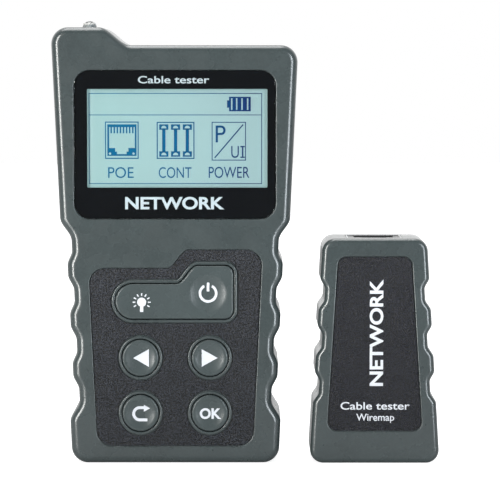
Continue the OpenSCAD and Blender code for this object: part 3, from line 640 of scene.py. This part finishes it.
# %% Window plate
window = Skin()
pane_path = round_box(lens_low[0], lens_high[0], lens_low[2], lens_high[2], 4.65)
pane_back = lens_high[1] - 0.08
pane = carry(pane_path, [
    [(0.6, pane_back), (0, pane_back)],
    bend((0, case_front + 0.15), (0.15, case_front), "y", 4), [(0.6, case_front)]])
window.floor(rims([pane]), pane_back)
window.floor([window.wall(pane)], case_front)
make_piece("screen_window", window, "handset", "lens_clear", window_clear, ["display_lens"])

# %% Panel behind the window
def tinted_across(name, low, high, stops, colour, roughness, **sockets):
    """A surface whose colour follows a ramp from x = low to x = high, in millimetres."""
    material, tree, shader = new_material(name, colour, roughness, **sockets)
    place = node(tree, "TexCoord").outputs["Object"]
    across = node(tree, "SeparateXYZ", {0: place}).outputs["X"]
    share = node(tree, "MapRange", {"Value": across, "From Min": low * MM, "From Max": high * MM})
    feed(shader, "Base Color", ramp(tree, share.outputs["Result"], stops))
    return material, tree, shader


panel_low, panel_high = box_of("lcd_panel")
panel_glow, tree, shader = tinted_across("panel_glow", panel_low[0], panel_high[0], [
    (0.03, (0.35, 0.44, 0.44)), (0.08, (0.270, 0.365, 0.36)), (0.55, (0.270, 0.345, 0.35)),
    (0.90, (0.25, 0.31, 0.32)), (0.94, (0.26, 0.33, 0.34)), (0.97, (0.34, 0.42, 0.42))],
    (0.28, 0.36, 0.36), 0.3, **{"Emission Color": (0.38, 0.60, 0.60, 1), "Emission Strength": 0.35})
relief(tree, shader, noise(tree, 0.3, 1), 0.001)
ink_blue = tinted_across("ink_blue", -22, 22, [
    (0.0, (0.001, 0.13, 0.27)), (0.6, (0.001, 0.09, 0.22)), (1.0, (0.004, 0.025, 0.125))],
    (0.001, 0.09, 0.22), 0.4, **{"Specular IOR Level": 0.1})[0]
print("panel", np.round(panel_high - panel_low, 1), "mm behind the window")


# %% [markdown]
# ## Printed and displayed artwork
#
# Screen symbols, captions and key symbols are thin solids a few hundredths of a millimetre thick,
# so they stay crisp from any distance. Each one is a few closed outlines, filled and given a
# front, a back and an edge. On a dished key the artwork is laid on the dish by its depth formula.

# %% Artwork helpers
white, ink = ("print_white", print_white), ("lcd_ink", ink_blue)


def printed(name, shapes, surface, body, finish, lift=0.03, sink=0.03, grid=0):
    """Thin solids. Each shape is a list of loops, outer first and then its holes. The front is lift
    in front of the surface, the back is sink behind it, and finish is a slot name, which is not used, and its
    material."""
    place = surface if callable(surface) else lambda p: np.full(len(p), float(surface))
    art = Skin()
    for loops in shapes:
        art.floor(loops, lambda p: place(p) - lift, grid)
        art.floor(loops, lambda p: place(p) + sink, grid)
        for loop in loops:
            rings = [np.insert(loop, 1, place(loop) + off, axis=1) for off in (-lift, sink)]
            art.wall(np.array(rings))
    return make_piece(name, art, body, *finish)


def bar(x0, z0, x1, z1, width):
    """A straight stroke between two points, square at its ends."""
    a, b = np.array([x0, z0], float), np.array([x1, z1], float)
    side = np.array([a[1] - b[1], b[0] - a[0]]) / np.linalg.norm(b - a) * width / 2
    return np.array([a - side, b - side, b + side, a + side])


def band(cx, cz, radius, width, start, stop, count=40):
    """An arc-shaped stroke."""
    return np.vstack([arc(cx, cz, radius + width / 2, start, stop, count),
                      arc(cx, cz, radius - width / 2, stop, start, count)])


def panel_box(x0, x1, z0, z1):
    """A plain rectangle as a loop."""
    return np.array([(x0, z0), (x1, z0), (x1, z1), (x0, z1)], float)


def frame_of(x0, x1, z0, z1, line):
    """A rectangular outline of a given line width: a rectangle with a rectangular hole."""
    return [panel_box(x0, x1, z0, z1), panel_box(x0 + line, x1 - line, z0 + line, z1 - line)]


def words(name, text, box, surface, body, finish, weight=0.0, upright=False, lift=0.03, sink=0.03):
    """Lettering from the built-in font, made a mesh and fitted into a box of x0, x1, z0, z1. weight
    thickens the strokes, and upright turns the line so that it reads from the foot to the head."""
    x0, x1, z0, z1 = box
    curve = bpy.data.curves.new(name, "FONT")
    curve.body, curve.extrude, curve.offset = text, 0.01, weight
    source = add_object(name, curve)
    graph = bpy.context.evaluated_depsgraph_get()
    mesh = bpy.data.meshes.new_from_object(source.evaluated_get(graph))
    bpy.data.objects.remove(source)
    spots = np.empty(len(mesh.vertices) * 3)
    mesh.vertices.foreach_get("co", spots)
    spots = spots.reshape(-1, 3)
    flat = (spots[:, :2] - spots[:, :2].min(0)) / np.ptp(spots[:, :2], axis=0)
    if upright:
        flat = np.stack([1 - flat[:, 1], flat[:, 0]], -1)
    flat = flat * [x1 - x0, z1 - z0] + [x0, z0]
    place = surface(flat) if callable(surface) else surface
    y = place + np.where(spots[:, 2] > 0, -lift, sink)
    skin = Skin()
    skin.points, skin.total = [np.stack([flat[:, 0], y, flat[:, 1]], -1)], len(flat)
    skin.faces = [list(p.vertices) for p in mesh.polygons]
    skin.level = [True] * len(skin.faces)
    bpy.data.meshes.remove(mesh)
    return make_piece(name, skin, body, *finish)


# %% Symbols on the screen
screen = panel_low[1]
line = 0.32


def fitted(points):
    """The artwork is drawn a little large, then shrunk and moved into the window."""
    return np.asarray(points) * [0.983, 0.98] + [-0.03, 1.25]


def on_screen(name, shapes):
    """Artwork on the panel's front."""
    shapes = [[fitted(loop) for loop in loops] for loops in shapes]
    return printed(name, shapes, screen, "handset", ink)


on_screen("screen_frame", [frame_of(-26, 26.3, 83.7, 111.2, 0.22), [bar(-25.8, 104.6, 26.1, 104.6, 0.22)]])
slits = [panel_box(x, x + 0.42, 106.15, 109.65) for x in (16.95, 18.45, 20.05, 21.75)]
on_screen("screen_battery", [[panel_box(16.35, 22.9, 105.7, 110.1)] + slits,
                             [panel_box(15.75, 16.35, 106.8, 109.0)]])
bx, bz = -21.1, 91.3
mouth = np.array([(1.25, 3.3), (3.05, 3.3), (3.05, 2.2), (3.6, 2.2), (3.6, 1.45), (6.5, 1.45), (6.5, 2.2),
                  (7.05, 2.2), (7.05, 3.3), (9.0, 3.3), (9.0, 9.6), (1.25, 9.6)]) + [bx, bz]
lamps = [circle(bx + 1.5, bz + 1.6, 0.36, 16), circle(bx + 8.6, bz + 1.6, 0.36, 16)]
teeth = [[panel_box(bx + 1.65 + 0.93 * i, bx + 2.1 + 0.93 * i, bz + 7.75, bz + 9.62)] for i in range(8)]
on_screen("screen_port", [frame_of(bx, bx + 10.15, bz, bz + 11.3, line),
                          [panel_box(bx + 0.7, bx + 9.5, bz + 0.9, bz + 10.45), mouth] + lamps] + teeth)
wx, wz = -5.5, 91.3
links = [frame_of(wx, wx + 11.4, wz, wz + 11.2, line)]
for x in (2.15, 5.7, 9.25):
    links += [[bar(wx + x, wz + 2.2, wx + x, wz + 9.0, 1.0)]]
    for z in (0.65, 8.8):
        dome = arc(wx + x, wz + z + 0.45, 0.8, 0, 180, 16)
        links += [[panel_box(wx + x - 1.37, wx + x + 1.37, wz + z, wz + z + 1.65), dome]]
on_screen("screen_wiring", links)
px, pz = 11.1, 90.8
on_screen("screen_power", [frame_of(px, px + 10.35, pz, pz + 11.7, line * 0.8),
                           [bar(px + 0.9, pz + 0.8, px + 9.5, pz + 10.9, 0.36)]])
for name, text, box in (("caption_poe", "POE", (-20.2, -12.5, 85.5, 88.8)),
                        ("caption_cont", "CONT", (-4.9, 5.0, 85.5, 88.8)),
                        ("caption_power", "POWER", (10.2, 22.5, 85.5, 88.9)),
                        ("letter_p", "P", (12.3, 15.3, 96.3, 101.4)),
                        ("letter_u", "U", (17.0, 19.3, 91.6, 95.2))):
    corners = fitted(np.reshape(box, (2, 2)).T)
    words(name, text, corners.T.ravel(), screen, "handset", ink)
on_screen("letter_i", [[np.array([
    (19.75, 91.6), (21.1, 91.6), (21.1, 92.0), (20.66, 92.0), (20.66, 94.8), (21.1, 94.8),
    (21.1, 95.2), (19.75, 95.2), (19.75, 94.8), (20.22, 94.8), (20.22, 92.0), (19.75, 92.0)])]])

# %% Print behind the window
behind_window = lens_high[1]
for name, text, box, weight in (("window_heading", "Cable tester", (-10.9, 10.2, 113.1, 115.3), 0.012),
                                ("window_title", "NETWORK", (-14.8, 14.6, 75.75, 79.5), 0.028)):
    words(name, text, box, behind_window, "handset", white, weight, lift=0.04, sink=-0.01)

# %% [markdown]
# ## Keypad
#
# The keypad film is a coarse-grained black sheet with a hole round each collar. Under it four round
# keys and one wide rocking key come up through the collars. Each cap has a rounded rim and a
# shallow dish, which is what catches the light on its lower right.

# %% Keypad film
film = Skin()
film_top, film_back = box_of("keypad_overlay")[0][1], box_of("keypad_overlay")[1][1]
film_edge = [
    [(0.22, film_back)], bend((0.22, film_top + 0.12), (0.34, film_top), "y", 4), [(0.6, film_top)]]
film_rings = carry(film_path(), film_edge)
gaps = [carry(hole, [(-1.5, film_top), (-1.2, film_top), (-1.12, film_top + 0.08), (-1.12, film_back)])
        for hole in key_holes]
film.floor(rims([film_rings]) + [film.wall(rings) for rings in gaps], film_back)
film.floor([film.wall(film_rings)] + rims(gaps), film_top)
make_piece("keypad_film", film, "handset", "overlay_film", film_black, ["keypad_overlay"])

# %% Round keys
key_top = keys["ok"][0][1]
flange_back = keys["ok"][1][1]
dish_radius, dish_depth, dish_out = 17.0, 0.62, 4.45


def dish(centre, floor_radius, depth, out):
    """Depth of a dished cap: a ball pressed in, deepest at the centre and flat outside out, with a
    soft lip where the two meet. Its floor_radius is not used."""
    def at(points):
        away = np.linalg.norm(points - centre, axis=1)
        ball = depth * (1 - (away / out) ** 2)
        return key_top + np.where(away < out, 0.5 * (ball + np.sqrt(ball ** 2 + 0.02 ** 2)), 0.0)
    return at


def cap_edge(flange, flat):
    """A cap's side from the back of its flange, with a rounded rim and a start of its top."""
    return [(-1.2, flange), (-1.2, flange - 0.8), (0, flange - 0.8),
            bend((0, key_top + 0.55), (0.55, key_top), "y", 8), (flat, key_top)]


dishes = {name: dish(centre, dish_radius, dish_depth, dish_out) for name, centre in key_centres.items()}
for name, centre in key_centres.items():
    cap = Skin()
    rings = carry(circle(*centre, key_radius, 96), cap_edge(flange_back, 0.75))
    cap.floor(rims([rings]), flange_back)
    cap.floor([cap.wall(rings)], dishes[name], 0.35)
    make_piece(name + "_cap", cap, name, "key_plastic", key_grey, [name + "_key"])

# %% Light and power key
power_spot, light_spot = np.array([9.8, 50.9]), np.array([-12.5, 48.5])


def rocker_dish(points):
    """Two dishes on the wide cap: a deep one at the power end and a faint one at the light end."""
    power = dish(power_spot, 18, 0.8, 5.6)(points) - key_top
    light = dish(light_spot, 30, 0.15, 3.6)(points) - key_top
    return key_top + power + light


rocker, rocker_flange = Skin(), -12.2
rocker_rings = carry(rocker_path(), cap_edge(rocker_flange, 0.8))
rocker.floor(rims([rocker_rings]), rocker_flange)
rocker.floor([rocker.wall(rocker_rings)], rocker_dish, 0.45)
make_piece("light_power_cap", rocker, "light_power", "key_plastic", key_grey, ["light_power_key"])

# %% Key symbols
def on_key(name, shapes, surface, body, grid=0.5):
    """White print that follows the dish."""
    return printed(name, shapes, surface, body, white, 0.03, 0.05, grid)


arrows = {"left": [(-2.2, 0), (2.5, -2.65), (2.5, 2.65)], "right": [(-2.4, -2.65), (2.3, 0), (-2.4, 2.65)]}
for name, corners in arrows.items():
    on_key(name + "_symbol", [[key_centres[name] + corners]], dishes[name], name)
ux, uz = key_centres["back"] + [0.35, 0.05]
hook = np.vstack([
    [(ux + 1.65, uz - 2.5)], [(ux + 1.65, uz - 1.65)],
    arc(ux - 0.6, uz - 0.25, 1.4, 270, 90, 24), [(ux + 0.6, uz + 1.15)], [(ux + 0.6, uz + 0.35)],
    [(ux + 2.5, uz + 1.4)], [(ux + 0.6, uz + 2.45)], [(ux + 0.6, uz + 2.0)],
    arc(ux - 0.6, uz - 0.25, 2.25, 90, 270, 30), ])
on_key("back_symbol", [[hook]], dishes["back"], "back")
ox, oz = key_centres["ok"]
words("ok_symbol", "OK", (ox - 3.0, ox + 3.35, oz - 1.75, oz + 1.45), dishes["ok"], "ok", white,
      0.035, sink=0.06)
gx, gz = power_spot
on_key("power_symbol", [[band(gx, gz, 2.42, 0.76, 118, 422)], [bar(gx, gz + 0.55, gx, gz + 3.2, 0.76)]],
       rocker_dish, "light_power")
hx, hz = -9.9, 48.3
rays = [[bar(hx + 1.9 * c, hz + 1.9 * s, hx + 2.7 * c, hz + 2.7 * s, 0.36)]
        for c, s in ((np.cos(a), np.sin(a)) for a in np.radians(np.arange(-30, 211, 30)))]
neck = np.array([(hx - 0.5, hz - 2.9), (hx + 0.5, hz - 2.9), (hx + 0.5, hz - 1.2), (hx - 0.5, hz - 1.2)])
on_key("light_symbol", [[circle(hx, hz, 1.35, 40)], [neck]] + rays, rocker_dish, "light_power")

# %% [markdown]
# ## The remote
#
# The remote repeats the handset's language at half the height. Its film sits in a recess with a
# fine bright edge, and its jack opens at the top, across the seam.

# %% Remote shells
far_wall, far_edge = 1.5, 1.55
far_outer, far_inner = remote_path(), grow(remote_path(), -far_wall)
remote = (far_outer, far_inner, far_wall, remote_seam)
remote_screws = [(remote_x + x, z) for x, z in ((11.6, 57), (-11.6, 57), (13, 7), (-13, 7))]


def remote_film_path(step=0.3):
    """A trapezoid with round corners, wider at its foot."""
    r, foot, top, wide, narrow = 2.8, 9.6, 61.9, 14.0, 11.1
    lean = np.degrees(np.arctan((wide - narrow) / (top - foot)))
    shape = np.vstack([
        arc(wide - r, foot + r, r, -90, lean), arc(narrow - r, top - r, r, lean, 90),
        arc(r - narrow, top - r, r, 90, 180 - lean), arc(r - wide, foot + r, r, 180 - lean, 270)])
    return even(shape + [remote_x, 0], step)


far_front, far_face = half_shell(remote, remote_front, far_edge, chamfer=0.12, flat=0.15, count=10)
far_recess = carry(remote_film_path(), [
    [(-0.4, remote_front)],
    bend((-0.28, remote_front), (0, remote_front + 0.28), "x", 5), [(0, remote_front + 0.5)]])
far_front.floor([far_face] + rims([far_recess]), remote_front)
far_front.floor([far_front.wall(far_recess)], remote_front + 0.5)
close_front(far_front, remote, [], remote_front + 2.0, remote_screws, radius=2.1, bore=1.1, count=28)
remote_front_case = make_piece(
    "remote_front_case", far_front, "remote", "shell_plastic", case_grey, ["remote_front_shell"])
cut(remote_front_case, [port_cutter("remote_jack_shield", remote_top)])

far_floor = remote_back - 2
far_rear, far_back_face = half_shell(remote, remote_back, far_edge, chamfer=0.12, flat=0.15, count=10)
far_wells = screw_wells(remote_screws, remote_back, remote_seam, far_floor,
                        radius=2.0, soft=0.2, deep=4.5, ledge=0.8, count=32)
far_rear.floor([far_back_face] + rims(far_wells), remote_back)
far_rear.floor([far_inner] + [far_rear.wall(rings) for rings in far_wells], far_floor)
far_rear.wall(carry(far_outer, [(far_wall, far_floor), (far_wall, remote_seam)]))
remote_rear_case = make_piece(
    "remote_rear_case", far_rear, "remote", "shell_plastic", case_grey, ["remote_rear_shell"])
cut(remote_rear_case, [port_cutter("remote_jack_shield", remote_top)])

# %% Remote film and its print
remote_film = Skin()
far_film_top, far_film_back = box_of("remote_overlay")[0][1], box_of("remote_overlay")[1][1]
far_rings = carry(remote_film_path(), [
    [(0.2, far_film_back)], bend((0.2, far_film_top + 0.12), (0.32, far_film_top), "y", 4),
    [(0.6, far_film_top)]])
remote_film.floor(rims([far_rings]), far_film_back)
remote_film.floor([remote_film.wall(far_rings)], far_film_top)
make_piece("remote_film", remote_film, "remote", "overlay_film", remote_film_black, ["remote_overlay"])
for name, text, box, weight, upright in (
        ("remote_title", "NETWORK", (57.8, 61.9, 23.2, 55), 0.028, True),
        ("remote_line_1", "Cable tester", (49.2, 69.8, 16.1, 18.4), 0.01, False),
        ("remote_line_2", "Wiremap", (53.9, 65.2, 12.1, 14.9), 0.01, False)):
    words(name, text, box, far_film_top, "remote", white, weight, upright)

# %% [markdown]
# ## Torch, battery door and the rest
#
# The torch is a clear dome over a white cup, spun like a turned part. The battery door is its
# side-on outline carried across: a flat plate with a hinge barrel on its upper edge, two pips that
# it swings on, a thumb tab, and cut ribs for grip.

# %% Turned parts
def turned(name, profile, cx, cy, body, slot, material, replaced=(), count=64):
    """A profile of (radius, height) spun about an upright axis: x = r cos a, y = r sin a."""
    profile = np.asarray(profile, float)
    turn = np.linspace(0, 2 * np.pi, count, endpoint=False)
    radius, height = profile[:, 0, None], profile[:, 1, None]
    rings = np.stack([cx + radius * np.cos(turn), cy + radius * np.sin(turn), height + 0 * turn], -1)
    skin = Skin()
    skin.wall(rings)
    return make_piece(name, skin, body, slot, material, replaced)


dome_foot = torch_high[2] - torch_radius
dome = np.stack([torch_radius * np.cos(np.linspace(0, np.pi / 2, 16)),
                 dome_foot + torch_radius * np.sin(np.linspace(0, np.pi / 2, 16))], -1)
turned("torch_dome", np.vstack([[(0, torch_low[2]), (2.65, torch_low[2]), (2.65, torch_low[2] + 1),
                                 (torch_radius, torch_low[2] + 1)], dome]),
       torch_x, torch_y, "handset", "torch_clear", torch_clear, ["torch_led"])
turned("torch_cup", [(0, 127.6), (1.6, 127.6), (1.95, 131.1), (1.7, 131.2), (0.9, 129.6), (0, 129.4)],
       torch_x, torch_y, "handset", "diffuser_white", milky_white)

# %% Battery door
barrel, pip, pip_long, soft = door_thick / 2, 0.6, 1.2, 0.25
hinge_y, hinge_z = case_back - barrel, door_top - barrel
door_front = recess + 0.1
door = Skin()
side_on = even([
    arc(case_back - 0.4, door_foot + 0.4, 0.4, -90, 0), arc(hinge_y, hinge_z, barrel, 0, 180),
    [(door_front, hinge_z), (door_front, door_foot)]], 0.25)
for path, half in ((side_on, door_half), (circle(hinge_y, hinge_z, pip, 32), door_half + pip_long)):
    ends = carry(path, [bend((soft, -half), (0, soft - half), "x", 4),
                                  bend((0, half - soft), (soft, half), "y", 4)])
    door.floor(rims([ends]), -half)
    door.floor([door.wall(ends)], half)
door.points = [points[:, [1, 0, 2]] for points in door.points]
tab = carry(round_box(-5.5, 5.5, door_foot - 1.8, door_foot + 1.5, 0.8), [
    bend((0.2, case_back - 1.7), (0, case_back - 1.5), "x", 4),
    bend((0, case_back - 0.4), (0.4, case_back), "y", 5)])
door.floor(rims([tab]), case_back - 1.7)
door.floor([door.wall(tab)], case_back)
battery_cover = make_piece("battery_cover", door, "door", "shell_plastic", case_grey, ["battery_door"])
ribs = [cutter([-9, case_back - 0.5, z], [9, case_back + 1, z + 1.0]) for z in np.arange(16, 27, 2.0)]
cut(battery_cover, ribs)

# %% [markdown]
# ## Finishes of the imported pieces
#
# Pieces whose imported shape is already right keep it. Each gets its own finish: solder mask on the
# boards, tinned sheet on the jacks, moulded black on chips, plated steel on screws.

# %% Metals and boards
def metal(name, colour, roughness, grain, depth, stretch=(1, 1, 1)):
    """Plated metal: roughness and relief vary along the direction in which it was drawn or cut."""
    material, tree, shader = new_material(name, colour, roughness, metallic=1.0)
    streak = noise(tree, grain, 3, stretch=stretch)
    worn = ramp(tree, streak, [(0.3, roughness * 0.8), (0.7, roughness * 1.25)])
    feed(shader, "Roughness", worn)
    dulled = ramp(tree, noise(tree, 3, 2), [(0.3, shade(colour, 0.9)), (0.7, shade(colour, 1.05))])
    feed(shader, "Base Color", dulled)
    relief(tree, shader, streak, depth)
    return material


tinned = metal("tinned", (0.62, 0.63, 0.64), 0.28, 0.4, 0.004, (1, 1, 0.1))
plated_steel = metal("plated_steel", (0.55, 0.55, 0.56), 0.3, 0.3, 0.004)
contact_gold = metal("contact_gold", (0.80, 0.52, 0.18), 0.22, 0.2, 0.002)
board_green = moulded("board_green", (0.008, 0.075, 0.03), 0.3, grain=0.8, depth=0.01, mottle=0.2)
ribbon_amber = moulded("ribbon_amber", (0.30, 0.12, 0.015), 0.25, grain=1.0, depth=0.003)
cell_sleeve = moulded("cell_sleeve", (0.02, 0.045, 0.10), 0.25, grain=1.5, depth=0.003, mottle=0.15)
plunger_tan = moulded("plunger_tan", (0.45, 0.40, 0.22), 0.45, grain=0.5, depth=0.004)
groups = [
    (mask_black, "display_mask"), (panel_glow, "lcd_panel"), (milky_white, "lcd_backlight"),
    (ribbon_amber, "lcd_ribbon"), (board_green, "main_board remote_board"),
    (chip_black, "key_switches microcontroller power_inductor buzzer remote_diodes"),
    (jack_black, "torch_holder port_a_insert port_b_insert remote_jack_insert"),
    (tinned, "board_capacitors torch_leads port_a_shield port_b_shield remote_jack_shield"),
    (contact_gold, "port_a_contacts port_b_contacts remote_jack_contacts"),
    (plated_steel, "battery_springs battery_plates case_screws board_screws"),
    (plated_steel, "remote_case_screws remote_board_screws"),
    (cell_sleeve, "battery_1 battery_2 battery_3"),
    (plunger_tan, "left_plunger right_plunger back_plunger ok_plunger light_plunger power_plunger")]
finishes = {name: finish for finish, names in groups for name in names.split()}
for name, finish in finishes.items():
    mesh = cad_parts[name].data
    mesh.materials.clear()
    mesh.materials.append(finish)
bare = [name for name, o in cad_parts.items() if not o.hide_render and name not in finishes]
print("finished packed pieces:", len(finishes), "without a finish:", bare)

# %% [markdown]
# ## Studio
#
# A pale floor, a white surround, two soft boxes in front, one on each side, and a weak one above.
# The front boxes draw the bright line down each rounded side. The dark gap between them keeps the
# window black.

# %% Floor
floor_mesh = bpy.data.meshes.new("floor")
floor_mesh.from_pydata([(-2, -0.16, 0), (2, -0.16, 0), (2, 2.5, 0), (-2, 2.5, 0)], [], [(0, 1, 2, 3)])
pale, tree, shader = new_material("pale_floor", (0.45, 0.455, 0.46), 0.7, **{"Emission Color": (1, 1, 1, 1)})
seen = node(tree, "LightPath").outputs["Is Camera Ray"]
glow = node(tree, "MapRange", {"Value": seen, "To Min": 0.05, "To Max": 0.85})
feed(shader, "Emission Strength", glow.outputs["Result"])
relief(tree, shader, noise(tree, 2, 2), 0.01)
floor_mesh.materials.append(pale)
add_object("floor", floor_mesh)

# %% Light
scene = bpy.context.scene
scene.view_settings.view_transform = "Standard"
world = bpy.data.worlds.new("studio")
scene.world = world
world.use_nodes = True
sky = world.node_tree
rays_seen = node(sky, "LightPath").outputs["Is Camera Ray"]
direction = node(sky, "TexCoord").outputs["Generated"]
toward = node(sky, "SeparateXYZ", {0: direction}).outputs["Y"]
behind = node(sky, "MapRange", {"Value": toward, "From Min": -0.2, "From Max": 0.6,
                                         "To Min": 0.12, "To Max": 1.5}).outputs["Result"]
strength = node(sky, "Mix", data_type="FLOAT")
sky.links.new(rays_seen, strength.inputs["Factor"])
sky.links.new(behind, strength.inputs[2])
strength.inputs[3].default_value = 1.0
backing = sky.nodes["Background"]
sky.links.new(strength.outputs[0], backing.inputs["Strength"])
backing.inputs["Color"].default_value = (1, 1, 1, 1)


def softbox(name, place, aim, width, height, radiance, colour=(1, 1, 1)):
    """An area lamp whose power gives its face the wanted radiance: watts = pi * area * radiance."""
    lamp = bpy.data.lights.new(name, "AREA")
    lamp.shape, lamp.size, lamp.size_y = "RECTANGLE", width, height
    lamp.energy, lamp.color = np.pi * width * height * radiance, colour
    stand = add_object(name, lamp)
    stand.location = place
    stand.rotation_euler = (Vector(aim) - Vector(place)).to_track_quat("-Z", "Y").to_euler()


middle = (0.02, 0, 0.07)
softbox("left_box", (-0.62, -0.92, 0.16), middle, 0.20, 0.9, 25.0, (1.0, 0.995, 0.97))
softbox("right_box", (0.66, -0.92, 0.06), middle, 0.24, 1.0, 15.0, (0.88, 0.94, 1.0))
softbox("top_box", (-0.1, 0.1, 1.1), middle, 0.8, 0.6, 5.0)

# %% Camera
camera = add_object("camera", bpy.data.cameras.new("camera"))
scene.camera = camera
distance, drop = 0.80, np.radians(3.7)
target = Vector((0.02225, case_front * MM, 0.066))
camera.location = target + distance * Vector((0, -np.cos(drop), np.sin(drop)))
camera.rotation_euler = (target - camera.location).to_track_quat("-Z", "Y").to_euler()
camera.data.lens = 36 * distance / 0.1483
camera.data.clip_start, camera.data.clip_end = 0.01, 20
